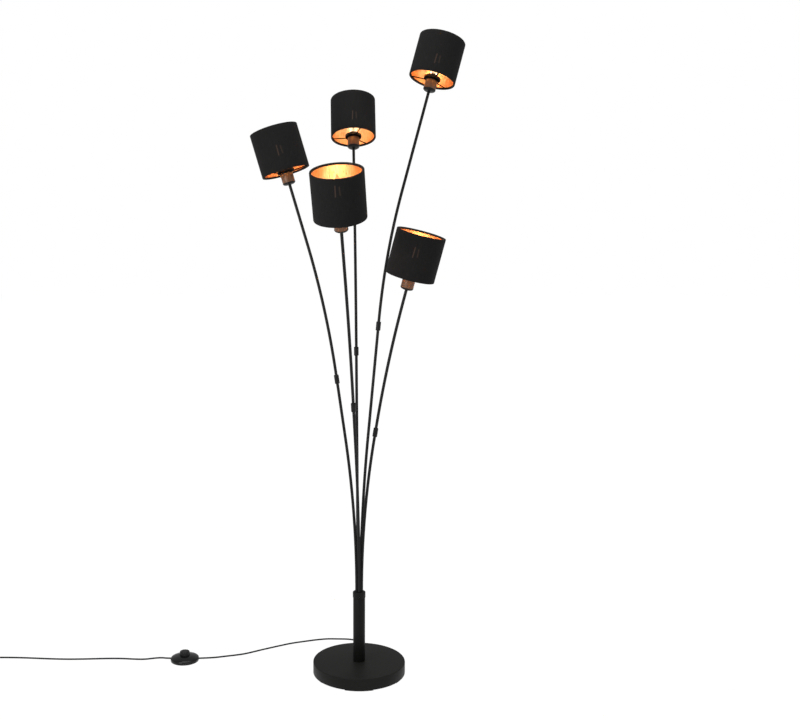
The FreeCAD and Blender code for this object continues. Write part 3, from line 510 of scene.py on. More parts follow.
def turned_map(bm):
    """A map of a turned piece: the share of a turn across, and the height in mm up."""
    layer = bm.loops.layers.uv.new("turned")
    for face in bm.faces:
        middle = face.calc_center_median()
        home = math.atan2(middle.y, middle.x)
        for loop in face.loops:
            point = loop.vert.co
            angle = math.atan2(point.y, point.x) if math.hypot(point.x, point.y) > 0.01 else home
            angle += FULL_TURN * round((home - angle) / FULL_TURN)
            loop[layer].uv = (angle / FULL_TURN, point.z)
    return bm


def finished(name, bm, finish, body, nodes=(), place=None, crease=35):
    """Puts a shape made in mm in its place, in metres, as a piece of the lamp that rides on a body."""
    bmesh.ops.recalc_face_normals(bm, faces=bm.faces[:])
    bmesh.ops.transform(bm, matrix=METRES @ (place or Matrix()), verts=bm.verts[:])
    mesh = bpy.data.meshes.new(name)
    bm.to_mesh(mesh)
    bm.free()
    mesh.materials.append(finish)
    mesh.shade_smooth()
    mesh.set_sharp_from_angle(angle=math.radians(crease))
    piece = bpy.data.objects.new(name, mesh)
    bpy.context.scene.collection.objects.link(piece)
    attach(piece, body)
    if nodes:
        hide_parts(*nodes)
    return piece


def close_ends(bm):
    bmesh.ops.holes_fill(bm, edges=[e for e in bm.edges if e.is_boundary], sides=0)


BEND_STEPS = 48


def drawn_tube(radius, moves, start=Vector(), tilt=0.0, sides=24):
    """A round tube in the arm's plane, from straight runs and arcs that lean outwards."""
    bm = bmesh.new()
    ring = bmesh.ops.create_circle(bm, cap_ends=False, radius=radius, segments=sides)["verts"]
    bmesh.ops.transform(bm, matrix=leaning(start, tilt), verts=ring)
    edges = bm.edges[:]
    for kind, length, degrees in moves:
        if kind == "run":
            made = bmesh.ops.extrude_edge_only(bm, edges=edges)["geom"]
            step = along(tilt) * length
            bmesh.ops.translate(bm, vec=step, verts=[g for g in made if isinstance(g, bmesh.types.BMVert)])
            start = start + step
        else:
            turn = math.radians(degrees)
            centre = start + along(tilt + math.pi / 2) * (length / turn)
            made = bmesh.ops.spin(bm, geom=edges + list({v for e in edges for v in e.verts}), cent=centre,
                                  axis=(0, 1, 0), angle=turn, steps=BEND_STEPS,
                                  use_duplicate=False)["geom_last"]
            start, tilt = after_bend(start, tilt, length, degrees)
        edges = [g for g in made if isinstance(g, bmesh.types.BMEdge)
                 and all(abs((v.co - start).dot(along(tilt))) < 0.01 for v in g.verts)]
    close_ends(bm)
    return bm


HEX_SIDES = 6
SCREW_SIDES = 24


def grub_screw(bm, radius, key, depth, place):
    """The face of a grub screw with its hexagonal socket; Z points out of the face."""
    old = set(bm.verts)
    rim = bmesh.ops.create_circle(bm, cap_ends=True, radius=radius, segments=SCREW_SIDES)["verts"]
    face = rim[0].link_faces[0]
    bmesh.ops.inset_region(bm, faces=[face], thickness=radius * 0.14, depth=radius * 0.12)
    bmesh.ops.inset_region(bm, faces=[face], thickness=(radius - key) * 0.5)
    sector = math.pi / HEX_SIDES
    for vert in face.verts:
        angle = math.atan2(vert.co.y, vert.co.x)
        across = angle % (2 * sector) - sector
        reach = key * math.cos(sector) / math.cos(across)
        vert.co.xy = Vector((math.cos(angle), math.sin(angle))) * reach
    pit = bmesh.ops.extrude_discrete_faces(bm, faces=[face])["faces"][0]
    bmesh.ops.translate(bm, vec=(0, 0, -depth), verts=pit.verts)
    skirt = bmesh.ops.extrude_edge_only(bm, edges=[
        e for e in bm.edges if e.is_boundary and e.verts[0] in set(rim)])["geom"]
    bmesh.ops.translate(bm, vec=(0, 0, -depth * 1.5),
                        verts=[g for g in skirt if isinstance(g, bmesh.types.BMVert)])
    bmesh.ops.transform(bm, matrix=place, verts=[v for v in bm.verts if v not in old])


def facing(direction):
    """Turns Z to a direction."""
    return direction.to_track_quat("Z", "Y").to_matrix().to_4x4()


def looking_out(degrees, radius, height):
    """A place on a turned face whose Z points straight out at a bearing."""
    return Matrix.Translation(polar(radius, degrees, height)) @ facing(polar(1, degrees))


def rod_between(bm, first, second, radius, sides=14):
    """A round rod from one point to another."""
    reach = second - first
    spun([(0, 0), (radius, 0), (radius, reach.length), (0, reach.length)], sides, bm=bm,
         place=Matrix.Translation(first) @ facing(reach))


# ---------------------------------------------------------------- foot and column


FOOT_RADIUS = 127
FOOT_TOP = 34.5
FOOT_WALL = 2
PLATE_RADIUS = 124.6
PLATE_TOP = 5
PAD_HEIGHT = 3
PAD_INNER = 110
PAD_OUTER = 124
PAD_COUNT = 5
PAD_ARC = 36
PAD_FIRST = -108
MIDDLE_PAD_RADIUS = 25
COLUMN_RADIUS = 16.5
HEAD_FOOT = 214.5
HEAD_RADIUS = 17.5
HEAD_SLOPE = 1.5
HEAD_SCREW_REACH = 17.85
HEAD_SCREW_HEIGHT = 219.0


def foot():
    """The foot's cover, plate and pads."""
    inside = FOOT_RADIUS - FOOT_WALL
    under = FOOT_TOP - FOOT_WALL
    cover = spun([(0, FOOT_TOP), (FOOT_RADIUS, FOOT_TOP), (FOOT_RADIUS, PAD_HEIGHT), (inside, PAD_HEIGHT),
                  (inside, under), (0, under)], 160)
    rounded(cover, ring_edges(cover, FOOT_TOP, FOOT_RADIUS), 2.2, 6)
    rounded(cover, ring_edges(cover, PAD_HEIGHT), 0.5, 2)
    finished("foot_cover", cover, COAT_BASE, "root", ["base_cover"])
    plate = spun([(0, PAD_HEIGHT), (PLATE_RADIUS, PAD_HEIGHT), (PLATE_RADIUS, PLATE_TOP), (0, PLATE_TOP)], 128)
    rounded(plate, ring_edges(plate, PAD_HEIGHT, PLATE_RADIUS), 0.4, 2)
    finished("foot_plate", plate, COAT_COLUMN, "root", ["base_plate"])
    pads = bmesh.new()
    for index in range(PAD_COUNT):
        spun([(PAD_INNER, 0), (PAD_OUTER, 0), (PAD_OUTER, PAD_HEIGHT), (PAD_INNER, PAD_HEIGHT)], 18,
             closed=True, bm=pads, turn=math.radians(PAD_ARC),
             place=about_z(PAD_FIRST + 360 / PAD_COUNT * index))
    close_ends(pads)
    spun([(0, 0), (MIDDLE_PAD_RADIUS, 0), (MIDDLE_PAD_RADIUS, PAD_HEIGHT), (0, PAD_HEIGHT)], 48, bm=pads)
    rounded(pads, [e for e in pads.edges if not e.is_boundary and e.calc_face_angle(0) > 1.0], 0.4, 2)
    finished("foot_pads", pads, PAD_FOAM, "root", ["base_feet"])


def column():
    """The column, its head and the head's grub screws."""
    tube = spun([(0, FOOT_TOP), (COLUMN_RADIUS, FOOT_TOP), (COLUMN_RADIUS, HEAD_FOOT), (0, HEAD_FOOT)], 72)
    rounded(tube, ring_edges(tube, HEAD_FOOT, COLUMN_RADIUS), 0.3, 2)
    rounded(tube, ring_edges(tube, FOOT_TOP, COLUMN_RADIUS), 0.3, 2)
    finished("column", tube, COAT_COLUMN, "root", ["column_tube"])
    shoulder = COLUMN_TOP - HEAD_SLOPE
    crown = HEAD_RADIUS - HEAD_SLOPE
    head = spun([(0, HEAD_FOOT), (HEAD_RADIUS, HEAD_FOOT), (HEAD_RADIUS, shoulder), (crown, COLUMN_TOP),
                 (0, COLUMN_TOP)], 72)
    rounded(head, ring_edges(head, HEAD_FOOT, HEAD_RADIUS) + ring_edges(head, shoulder, HEAD_RADIUS)
            + ring_edges(head, COLUMN_TOP, crown), 0.35, 2)
    finished("column_head", head, COAT_COLUMN, "root", ["arm_block"])
    screws = bmesh.new()
    for arm in ARMS.values():
        grub_screw(screws, 2.0, 1.1, 1.6, looking_out(arm["bore"], HEAD_SCREW_REACH, HEAD_SCREW_HEIGHT))
    finished("head_screws", screws, ZINC, "root", ["arm_block_screws"])


BUSH_RIBS = 5
CORD_EXIT_HEIGHT = 10


def bush():
    """Ribbed bush round the cord where it leaves the foot."""
    profile = [(2.3, 123), (4.9, 123), (4.9, 125), (3.8, 125), (3.8, 127), (4.9, 127), (4.9, 129)]
    for rib in range(BUSH_RIBS):
        start = 129.6 + rib * 4.0
        top = 4.4 - 0.18 * rib
        profile += [(top - 0.8, start), (top - 0.8, start + 1.2), (top, start + 1.5), (top, start + 3.4)]
    profile += [(3.3, 150), (2.3, 150)]
    shape = spun(profile, 36, closed=True)
    place = Matrix.Translation((0, 0, CORD_EXIT_HEIGHT)) @ Matrix.Rotation(-math.pi / 2, 4, "X")
    finished("cord_relief", shape, BUSH_BLACK, "root", ["cord_bush"], place=place)


# ---------------------------------------------------------------- arms

# turned profiles as (radius, height); the coupler's heights start at its middle, the others at the arm's end
COUPLER_PROFILE = [(4, -12.25), (5.3, -12.25), (6.5, -11.05), (6.5, 11.05), (5.3, 12.25), (4, 12.25)]
CUP_PROFILE = [
    (4.0, 0.0), (8.0, 0.0), (10.6, 0.3), (12.8, 0.9), (14.6, 1.8), (16.0, 2.9), (16.9, 4.2), (17.4, 5.3),
    (17.5, 6.0), (14.8, 6.0), (14.8, 4.9), (4.0, 4.9)]
SLEEVE_PROFILE = [(15.7, 6.1), (16.9, 6.1), (17.0, 6.4), (17.0, 30.6), (16.8, 31.0), (15.7, 31.0)]
SOCKET_PROFILE = [
    (12.0, 31.0), (15.5, 31.0), (15.5, 33.5), (12.0, 33.5), (12.0, 48.1), (11.6, 48.5), (7.7, 48.5),
    (7.7, 30.0), (12.0, 30.0)]
CLAMP_RADIUS = 23.5
CLAMP_FOOT = 35.0
CLAMP_TOP = 41.5
BULB_FOOT = 48.0
BULB_MIDDLE = 104.0
BULB_SHAPE = [
    (6.65, 0.0), (7.3, 1.0), (7.7, 2.0), (9.6, 5.0), (11.9, 9.0), (13.8, 13.0), (15.4, 17.0), (16.7, 22.0),
    (17.3, 27.0), (17.5, 33.0), (17.4, 38.0), (16.9, 44.0), (15.9, 50.0), (14.5, 56.0), (12.7, 62.0),
    (10.7, 68.5), (8.6, 75.0), (6.5, 81.0), (4.6, 87.0), (3.1, 92.0), (1.9, 96.0), (0.9, 97.6), (0.0, 98.0)]
SHADE_RADIUS = 65.0
SHADE_FOOT = 34.0
SHADE_TOP = 152.0
HEM = 5.0
CLOTH = 0.8
SEAM_HALF = 7.0
SEAM_PROUD = 0.35
CARRIER_FOOT = 33.5
CARRIER_TOP = 35.0
HOOP_RADIUS = 62.5
HOOP_WIRE = 1.4
HOOP_HEIGHTS = (36.2, 149.8)
SPOKE_WIRE = 1.6
SPOKE_START = (21.3, 33.56)
GRIPS = 36
COUPLER_SCREW_HEIGHTS = (-7.25, 7.25)
COUPLER_RADIUS = 6.5


def coupler(name, arm, place):
    body = spun(COUPLER_PROFILE, 48, closed=True)
    rounded(body, [e for e in body.edges if 0.3 < e.calc_face_angle(0) < 1.2], 0.18, 2)
    finished(name + "_joint", body, COAT_ARM, "arm_" + name, [name + "_coupler"], place=place)
    screws = bmesh.new()
    bearing = -90 - arm["turn"]
    for height in COUPLER_SCREW_HEIGHTS:
        grub_screw(screws, 1.5, 0.8, 0.9, looking_out(bearing, COUPLER_RADIUS, height))
    finished(name + "_joint_screws", screws, ZINC, "arm_" + name, place=place)


def lampholder(name, place):
    """The holder's cup and socket, the ribbed ring that clamps the shade, and the brown sleeve."""
    cup = spun(CUP_PROFILE, 56, closed=True)
    spun(SOCKET_PROFILE, 56, closed=True, bm=cup)
    ring = spun([(12.2, CLAMP_FOOT), (CLAMP_RADIUS - 0.5, CLAMP_FOOT), (CLAMP_RADIUS, CLAMP_FOOT + 0.5),
                 (CLAMP_RADIUS, CLAMP_TOP - 1.0), (CLAMP_RADIUS - 1.0, CLAMP_TOP), (12.2, CLAMP_TOP)],
                GRIPS * 4, closed=True)
    for vert in ring.verts:
        reach = math.hypot(vert.co.x, vert.co.y)
        if reach > CLAMP_RADIUS - 1.2:
            wave = math.cos(math.atan2(vert.co.y, vert.co.x) * GRIPS)
            vert.co.xy *= 1 - 0.35 * (1 - wave) / 2 / reach
    finished(name + "_lampholder", cup, HOLDER_BLACK, "arm_" + name, [name + "_holder"],
             place=place)
    finished(name + "_clamp_ring", ring, HOLDER_BLACK, "arm_" + name, place=place)
    sleeve = turned_map(spun(SLEEVE_PROFILE, 56, closed=True))
    finished(name + "_sleeve_tube", sleeve, SLEEVE_BROWN, "arm_" + name,
             [name + "_sleeve"], place=place)


def wire_frame(name, arm, place):
    """The ring that the holder clamps, three spokes and both hoops of the shade."""
    wires = spun([(12.0, CARRIER_FOOT), (22.3, CARRIER_FOOT), (22.5, CARRIER_FOOT + 0.2),
                  (22.5, CARRIER_TOP - 0.2), (22.3, CARRIER_TOP), (12.0, CARRIER_TOP)], 56, closed=True)
    for height in HOOP_HEIGHTS:
        hoop = [(HOOP_RADIUS + HOOP_WIRE * math.cos(a * FULL_TURN / 12),
                 height + HOOP_WIRE * math.sin(a * FULL_TURN / 12)) for a in range(12)]
        spun(hoop, 96, closed=True, bm=wires)
    for index in range(3):
        bearing = arm["spoke"] - arm["turn"] + 120 * index
        start, height = SPOKE_START
        rod_between(wires, polar(start, bearing, height), polar(HOOP_RADIUS, bearing, HOOP_HEIGHTS[0]),
                    SPOKE_WIRE)
    finished(name + "_shade_wires", wires, WIRE_COAT, "arm_" + name, [name + "_frame"],
             place=place)


GLASS_WALL = 0.9
CAP_THREADS = 6
FILAMENTS = 4
FILAMENT_FOOT = 90
FILAMENT_TOP = 127


def candle_bulb(name, place):
    """Clear glass with a screw cap, four filament strips and the stem that carries them."""
    outer = [(radius, BULB_FOOT + up) for radius, up in BULB_SHAPE]
    inner = [(max(radius - GLASS_WALL, 0.0), BULB_FOOT + up - (GLASS_WALL if radius < 4 else 0.0))
             for radius, up in BULB_SHAPE if up < 95]
    inner.append((0.0, BULB_FOOT + 94.5))
    glass = spun(outer + inner[::-1], 48)
    close_ends(glass)
    shell = finished(name + "_bulb_envelope", glass, BULB_GLASS, "arm_" + name,
                     [name + "_bulb"], place=place, crease=80)
    shell.visible_shadow = False
    thread = [(0.0, 23.5), (3.0, 23.5), (3.4, 24.6), (5.6, 26.6), (6.6, 27.4)]
    for turn in range(CAP_THREADS):
        thread += [(7.0, 28.4 + turn * 2.8), (6.3, 29.8 + turn * 2.8)]
    thread += [(6.9, 45.6), (6.6, BULB_FOOT), (0.0, BULB_FOOT)]
    finished(name + "_bulb_cap", spun(thread, 40), ZINC, "arm_" + name, place=place)
    strips = bmesh.new()
    stem = spun([(0, 48.2), (4.6, 48.2), (3.8, 54), (2.2, 62), (1.6, 76), (1.6, 88), (2.6, 90),
                 (2.4, 91.6), (0, 92)], 20)
    for index in range(FILAMENTS):
        bearing = 45 + 360 / FILAMENTS * index
        foot_point = polar(5.2, bearing, FILAMENT_FOOT)
        rod_between(strips, foot_point, polar(2.4, bearing + 20, FILAMENT_TOP), 0.55, 8)
        rod_between(stem, polar(1.8, bearing, FILAMENT_FOOT - 0.6), foot_point, 0.25, 6)
    glow = finished(name + "_filaments", strips, FILAMENT_GLOW, "arm_" + name, place=place)
    glow.visible_shadow = False
    stem_piece = finished(name + "_bulb_stem", stem, CERAMIC, "arm_" + name, place=place)
    stem_piece.visible_shadow = False


# where each shade's painted filament glow sits, across from the front and up the shade, in mm
PAINTED_GLOW_SPOT = {
    "front": (-5.2, 123), "low": (-10.5, 107), "high": (-5.0, 70), "middle": (-1.5, 72), "left": (-2.0, 86)}


def painted_glow_map(bm, middle, across, height):
    """A second map, in mm across and up from where the painted filament glow sits."""
    layer = bm.loops.layers.uv.new("glow")
    for face in bm.faces:
        for loop in face.loops:
            point = loop.vert.co
            angle = math.atan2(point.y, point.x) - middle
            angle -= FULL_TURN * round(angle / FULL_TURN)
            loop[layer].uv = (angle * SHADE_RADIUS - across, point.z - height)


def drum_shade(name, arm, place):
    """Cloth drum turned in over both hoops, with a lapped seam, and its foil lining."""
    outer = SHADE_RADIUS
    inner = outer - CLOTH
    lip = outer - HEM
    steps = 128
    rows = 12
    rise = (SHADE_TOP - SHADE_FOOT - 2.4) / rows
    wall = [(outer, SHADE_FOOT + 1.2 + rise * i) for i in range(rows + 1)]
    profile = [(lip, SHADE_FOOT + HEM), (lip, SHADE_FOOT + 1.2), (lip + 0.5, SHADE_FOOT + 0.4),
               (lip + 1.4, SHADE_FOOT), (outer - 1.2, SHADE_FOOT), (outer - 0.35, SHADE_FOOT + 0.35)]
    profile += wall
    profile += [(outer - 0.35, SHADE_TOP - 0.35), (outer - 1.2, SHADE_TOP), (lip + 1.4, SHADE_TOP),
                (lip + 0.5, SHADE_TOP - 0.4), (lip, SHADE_TOP - 1.2), (lip, SHADE_TOP - HEM),
                (lip + 0.7, SHADE_TOP - HEM), (inner, SHADE_TOP - HEM), (inner, SHADE_FOOT + HEM),
                (lip + 0.7, SHADE_FOOT + HEM)]
    cloth = spun(profile, steps, closed=True)
    seam = math.radians(90 - arm["turn"])
    lap = SEAM_HALF / SHADE_RADIUS
    for vert in cloth.verts:
        reach = math.hypot(vert.co.x, vert.co.y)
        if reach < outer - 0.2:
            continue
        off = math.atan2(vert.co.y, vert.co.x) - seam
        off -= FULL_TURN * round(off / FULL_TURN)
        if abs(off) < lap:
            vert.co.xy *= 1 + SEAM_PROUD / reach
    turned_map(cloth)
    painted_glow_map(cloth, math.radians(-90 - arm["turn"]), *PAINTED_GLOW_SPOT[name])
    finished(name + "_shade_cloth", cloth, SHADE_CLOTH, "arm_" + name, [name + "_shade"],
             place=place, crease=50)
    lining = turned_map(spun([(inner - 0.05, SHADE_FOOT + HEM - 0.6), (inner - 0.05, SHADE_TOP - HEM + 0.6),
                              (inner - 0.45, SHADE_TOP - HEM + 0.6), (inner - 0.45, SHADE_FOOT + HEM - 0.6)],
                             steps, closed=True))
    finished(name + "_shade_lining", lining, GOLD_FOIL, "arm_" + name, place=place)


GLOW_ENERGY = 0.25
GLOW_COLOUR = (1.0, 0.75, 0.58)
GLOW_SIZE = 0.012


def glow_light(name, place):
    """The bulb's own light, which rides with its arm."""
    data = bpy.data.lights.new(name + "_glow", "POINT")
    data.energy = GLOW_ENERGY
    data.color = GLOW_COLOUR
    data.shadow_soft_size = GLOW_SIZE
    light = bpy.data.objects.new(name + "_glow", data)
    light.matrix_world = Matrix.Translation(METRES @ place @ Vector((0, 0, BULB_MIDDLE)))
    bpy.context.scene.collection.objects.link(light)
    light.visible_transmission = False
    light.visible_camera = False
    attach(light, "arm_" + name)


def arms():
    for name, arm in ARMS.items():
        stand, joint_place, top, joint, tilt = arm_places(arm)
        lower = drawn_tube(TUBE_RADIUS, [("run", TUBE_BELOW_BLOCK_TOP, 0), ("bend", LOWER_ARC, arm["bend"]),
                                         ("run", arm["lower"], 0)], Vector((0, 0, -TUBE_BELOW_BLOCK_TOP)))
        finished(name + "_arm_lower", lower, COAT_ARM, "arm_" + name, [name + "_lower_tube"],
                 place=stand)
        upper = drawn_tube(TUBE_RADIUS, [("run", UPPER_START, 0), ("bend", UPPER_ARC, arm["rise"]),
                                         ("run", arm["upper"] + CUP_GRIP, 0)], joint, tilt)
        finished(name + "_arm_upper", upper, COAT_ARM, "arm_" + name, [name + "_upper_tube"],
                 place=stand)
        coupler(name, arm, joint_place)
        lampholder(name, top)
        wire_frame(name, arm, top)
        candle_bulb(name, top)
        drum_shade(name, arm, top)
        glow_light(name, top)


# ---------------------------------------------------------------- foot switch and plug

SWITCH_PLACE = Matrix.Translation((-498, 78, 0))
BUTTON_RIBS = 12
SPRING_RADIUS = 6.4
SPRING_WIRE = 0.6
SPRING_FOOT = 2.65
SPRING_RISE = 18.7
SPRING_TURNS = 5
SPRING_STEPS = 24


def foot_switch():
    """The switch's base and cover, its ribbed button and the spring under it."""
    base = spun([(0, 0), (38.8, 0), (39.6, 0.4), (40, 1.2), (40, 5.6), (39.6, 6.0), (0, 6.0)], 96)
    finished("switch_shell", base, SWITCH_BLACK, "root", ["switch_base"], place=SWITCH_PLACE)
    cover = spun([
        (0, 6.2), (39.4, 6.2), (39.85, 6.6), (40, 7.2), (39.6, 8.2), (38.7, 9.3), (37.2, 10.4), (34.8, 11.5),
        (31.4, 12.7), (27.4, 13.9), (23.2, 15.0), (19.4, 15.8), (16.4, 16.25), (15.0, 16.5), (14.5, 16.35),
        (14.3, 15.6), (14.3, 14.5), (0, 14.5)], 96)
    finished("switch_dome", cover, SWITCH_BLACK, "root", ["switch_cover"], place=SWITCH_PLACE)
    cap = spun([
        (0, 28.0), (4, 28.0), (8, 27.85), (11.4, 27.5), (13.0, 26.9), (13.8, 25.9), (14.0, 24.6), (14.0, 21.0),
        (14.0, 18.0), (14.0, 14.2), (16.0, 14.2), (16.0, 12.2), (0, 12.2)], BUTTON_RIBS * 8)
    for vert in cap.verts:
        reach = math.hypot(vert.co.x, vert.co.y)
        if reach > 12.5 and 15.0 < vert.co.z < 27.2:
            wave = math.cos(math.atan2(vert.co.y, vert.co.x) * BUTTON_RIBS)
            vert.co.xy *= 1 - 0.9 * max(-wave, 0.0) ** 0.7 / reach
    finished("switch_push", cap, BUTTON_BLACK, "switch_button", ["switch_button"],
             place=SWITCH_PLACE)
    spring = bmesh.new()
    wire = bmesh.ops.create_circle(spring, cap_ends=False, radius=SPRING_WIRE, segments=8)["verts"]
    stand = Matrix.Translation((SPRING_RADIUS, 0, SPRING_FOOT)) @ Matrix.Rotation(math.pi / 2, 4, "X")
    bmesh.ops.transform(spring, verts=wire, matrix=stand)
    steps = SPRING_STEPS * SPRING_TURNS
    bmesh.ops.spin(spring, geom=spring.verts[:] + spring.edges[:], cent=(0, 0, 0), axis=(0, 0, 1),
                   dvec=(0, 0, SPRING_RISE / steps), angle=FULL_TURN * SPRING_TURNS, steps=steps,
                   use_duplicate=False)
    close_ends(spring)
    coil_spring = finished("switch_return_spring", spring, ZINC, "root", ["switch_spring"],
                           place=SWITCH_PLACE)
    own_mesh(coil_spring)


COIL_PLACE = Vector((-1090, 57, 0))
COIL_RADIUS = 30.0
COIL_PITCH = 5.2
COIL_LAYER_TURNS = 2
CORD_RADIUS = 2.25
COIL_LIFT = 5.1
COIL_TURNS = 2 * COIL_LAYER_TURNS + 1


def coil_point(turns, spread=1.0):
    """A point of the coil, this many turns along it: in along the floor, up a layer and out again."""
    climb = min(max((turns - COIL_LAYER_TURNS) / 0.5, 0), 1)
    height = CORD_RADIUS + COIL_LIFT * (1 - math.cos(math.pi * climb)) / 2
    turned_back = COIL_LAYER_TURNS + 0.25
    radius = (COIL_RADIUS - COIL_PITCH * (turned_back - abs(turns - turned_back))) * spread
    angle = math.pi / 2 + FULL_TURN * turns
    return COIL_PLACE + Vector((radius * math.cos(angle), radius * math.sin(angle), height))


PLUG_HALF = 7.35
PLUG_FACE = 58
TAIL_RIBS = 5
PIN_SPOTS = (-9.3, 9.3)


def plug():
    """Flat two-pin plug with a ribbed tail and half-sleeved pins."""
    end = coil_point(COIL_TURNS) + Vector((-2 * CORD_RADIUS, 0, 0))
    place = Matrix.Translation(end) @ about_z(180)
    body = bmesh.new()
    outline = [
        (22, -7.5), (27, -10.2), (31, -14.2), (34.5, -16.9), (38, -17.5), (PLUG_FACE, -17.5),
        (PLUG_FACE, 17.5), (38, 17.5), (34.5, 16.9), (31, 14.2), (27, 10.2), (22, 7.5)]
    face = body.faces.new([body.verts.new((x, y, -PLUG_HALF)) for x, y in outline])
    raised = bmesh.ops.extrude_face_region(body, geom=[face])["geom"]
    bmesh.ops.translate(body, vec=(0, 0, 2 * PLUG_HALF),
                        verts=[g for g in raised if isinstance(g, bmesh.types.BMVert)])
    bmesh.ops.recalc_face_normals(body, faces=body.faces[:])
    edges = [e for e in body.edges if abs(e.verts[0].co.z - e.verts[1].co.z) < 0.1]
    behind_face = PLUG_FACE - 0.1
    rounded(body, [e for e in edges if max(v.co.x for v in e.verts) < behind_face
                   or min(v.co.x for v in e.verts) > behind_face], 2.2, 4)
    tail = [(2.3, 0), (3.5, 0)]
    for rib in range(TAIL_RIBS):
        width = 3.5 + 0.36 * rib
        start = 1.6 + rib * 3.8
        tail += [(width, start), (width + 0.5, start + 0.4), (width + 0.5, start + 2.6), (width, start + 3.0)]
    tail += [(5.4, 22), (5.4, 25), (0, 25), (0, 0.5)]
    lying = Matrix.Rotation(math.pi / 2, 4, "Y")
    spun(tail, 32, bm=body, place=lying)
    moulding = finished("plug_moulding", body, PLUG_BLACK, "root", ["plug"], place=place)
    sleeves = bmesh.new()
    pins = bmesh.new()
    for side in PIN_SPOTS:
        lying_pin = Matrix.Translation((0, side, 0)) @ lying
        spun([(0, 57.5), (1.9, 57.5), (1.9, 67.8), (1.7, 68), (0, 68)], 20, bm=sleeves, place=lying_pin)
        spun([(0, 68), (2, 68), (2, 75.6), (1.85, 76.3), (1.3, 76.85), (0, 77)], 20, bm=pins,
             place=lying_pin)
    sleeve_piece = finished("plug_pin_sleeves", sleeves, PLUG_BLACK, "root", place=place)
    pin_piece = finished("plug_pins", pins, ZINC, "root", place=place)
    return [moulding, sleeve_piece, pin_piece]


# ---------------------------------------------------------------- cord

ROUTE_TO_SWITCH = [
    (0, 150, 10), (0.3, 165, 9.2), (1, 180, 5.8), (1.5, 197, 3), (-2, 215, 2.25), (-16, 229, 2.25),
    (-37, 234.5, 2.25), (-64, 235, 2.25), (-96, 236, 2.25), (-130, 227.5, 2.25), (-165, 214.5, 2.25),
    (-202, 200.5, 2.25), (-246, 174.5, 2.25), (-291, 146.5, 2.25), (-328, 121, 2.25), (-354, 111, 2.25),
    (-384, 102, 2.25), (-412, 92.5, 2.4), (-438, 83.5, 4.4), (-463, 77, 6.2)]
ROUTE_TO_COIL = [
    (-534, 76.8, 6.2), (-550, 81, 4.4), (-566, 89.5, 2.5), (-586, 87, 2.25), (-613, 77.5, 2.25),
    (-645, 79, 2.25), (-680, 83.5, 2.25), (-725, 83, 2.25), (-775, 79, 2.25), (-830, 76.5, 2.25),
    (-885, 79, 2.25), (-935, 84, 2.25), (-985, 87.5, 2.25), (-1030, 88, 2.25), (-1062, 87.2, 2.25)]
COIL_POINTS_PER_TURN = 16
# control points stand this much outside the coil, so that the smooth curve has its radius
COIL_SPREAD = 1 / math.cos(math.pi / COIL_POINTS_PER_TURN)


def flex(name, points, nodes):
    """A cord along a route: one smooth curve whose control points are the route's."""
    curve = bpy.data.curves.new(name, "CURVE")
    curve.dimensions = "3D"
    curve.bevel_depth = CORD_RADIUS * MM
    curve.bevel_resolution = 5
    curve.resolution_u = 10
    curve.use_fill_caps = True
    line = curve.splines.new("NURBS")
    line.points.add(len(points) - 1)
    for control, point in zip(line.points, points):
        control.co = (*(Vector(point) * MM), 1.0)
    line.order_u = 3
    line.use_endpoint_u = True
    curve.materials.append(FLEX_SHEATH)
    cord = bpy.data.objects.new(name, curve)
    bpy.context.scene.collection.objects.link(cord)
    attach(cord, "root")
    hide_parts(*nodes)
    return cord


def cords(plug_pieces):
    to_switch = flex("flex_to_switch", ROUTE_TO_SWITCH, ["cord_to_switch"])
    steps = COIL_TURNS * COIL_POINTS_PER_TURN
    turns = [coil_point(step / COIL_POINTS_PER_TURN, COIL_SPREAD) for step in range(steps + 1)]
    turns.append(coil_point(COIL_TURNS) + Vector((-2 * CORD_RADIUS - 1, 0, 0)))
    to_plug = flex("flex_to_plug", [Vector(p) for p in ROUTE_TO_COIL] + turns, ["cord_to_coil", "cord_coil"])


# ---------------------------------------------------------------- pieces out of sight

HIDDEN_FINISHES = {
    "base_weight": IRON, "base_nut": ZINC, "tie_pipe": ZINC, "terminal_block": CERAMIC,
    "inner_leads": FLEX_SHEATH}


def hidden_pieces():
    """Gives the carried-over CAD nodes their finishes."""
    for node, finish in HIDDEN_FINISHES.items():
        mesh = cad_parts[node].data
        mesh.materials.clear()
        mesh.materials.append(finish)


# ---------------------------------------------------------------- floor, backdrop and light


WHITE = (1.0, 1.0, 1.0)
FLOOR_GREY = (0.7, 0.7, 0.7)
FLOOR_RADIUS = 30.0
ROOM_LIGHT = 0.44


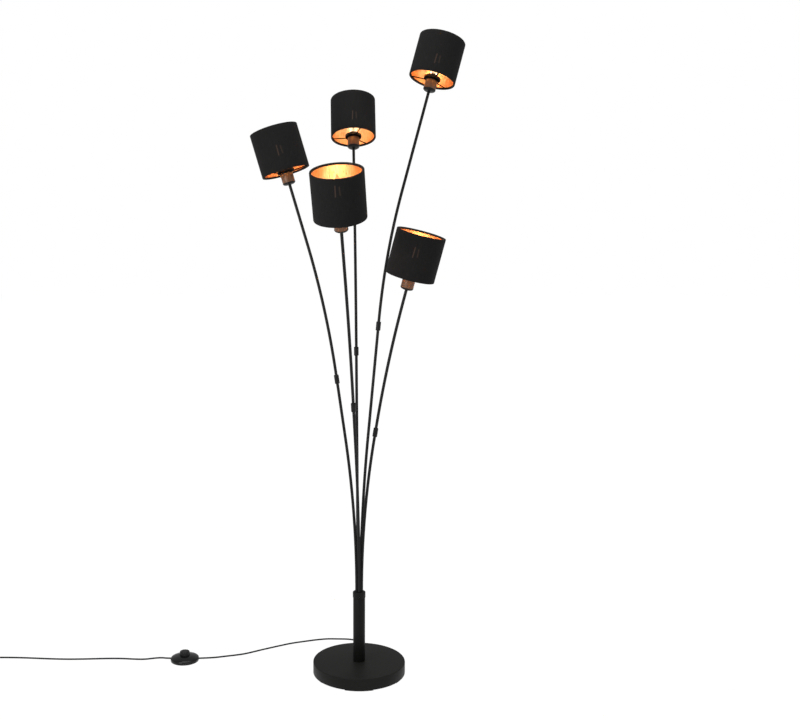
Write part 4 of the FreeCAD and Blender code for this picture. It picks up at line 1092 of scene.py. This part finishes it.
def white_where_seen(name, strength, share):
    """A pale stage finish: part plain white to the eye and in reflections, part lit, so shadows stay."""
    material = bpy.data.materials.new(name)
    nodes = Nodes(material, "ShaderNodeOutputMaterial")
    to_camera = nodes.node("ShaderNodeLightPath", output="Is Camera Ray")
    seen = to_camera.at_least(to_camera.beside("Is Glossy Ray"))
    seen = seen.at_least(to_camera.beside("Is Transmission Ray"))
    matt = nodes.node("ShaderNodeBsdfDiffuse", inputs={"Color": FLOOR_GREY})
    glow = nodes.node("ShaderNodeEmission", inputs={"Color": WHITE, "Strength": strength})
    nodes.feed(nodes.surface, nodes.node("ShaderNodeMixShader", inputs={0: seen * share, 1: matt, 2: glow}))
    return material


def stage():
    """The floor, and a room that is white to the eye."""
    bm = bmesh.new()
    bmesh.ops.create_circle(bm, cap_ends=True, radius=FLOOR_RADIUS, segments=64)
    mesh = bpy.data.meshes.new("floor")
    bm.to_mesh(mesh)
    bm.free()
    mesh.materials.append(white_where_seen("floor_white", 1.08, 0.9))
    floor = bpy.data.objects.new("floor", mesh)
    bpy.context.scene.collection.objects.link(floor)
    world = bpy.data.worlds.new("studio")
    nodes = Nodes(world, "ShaderNodeOutputWorld")
    to_camera = nodes.node("ShaderNodeLightPath", output="Is Camera Ray")
    seen = to_camera.at_least(to_camera.beside("Is Transmission Ray"))
    room = nodes.node("ShaderNodeBackground", inputs={"Color": WHITE, "Strength": ROOM_LIGHT})
    white = nodes.node("ShaderNodeBackground", inputs={"Color": WHITE, "Strength": 1.0})
    nodes.feed(nodes.surface, nodes.node("ShaderNodeMixShader", inputs={0: seen, 1: room, 2: white}))
    bpy.context.scene.world = world


# place, target, width, height, watts
STUDIO_LIGHTS = {
    "key_left": ((-1.25, -1.35, 1.2), (-0.05, -0.1, 1.2), 0.8, 1.0, 15.0),
    "fill_right": ((2.6, -1.6, 1.6), (0, 0, 0.9), 1.2, 2.2, 9.0),
    "top": ((0.0, -0.3, 3.6), (0, 0, 0.5), 2.4, 2.4, 46.0),
}


def studio_lights():
    for name, (spot, target, width, height, watts) in STUDIO_LIGHTS.items():
        data = bpy.data.lights.new(name, "AREA")
        data.shape = "RECTANGLE"
        data.size = width
        data.size_y = height
        data.energy = watts
        light = bpy.data.objects.new(name, data)
        light.location = spot
        light.rotation_euler = (Vector(target) - Vector(spot)).to_track_quat("-Z", "Y").to_euler()
        bpy.context.scene.collection.objects.link(light)
    bpy.context.scene.view_settings.view_transform = "Standard"


# ---------------------------------------------------------------- build

foot()
column()
bush()
arms()
foot_switch()
cords(plug())
hidden_pieces()
stage()
studio_lights()
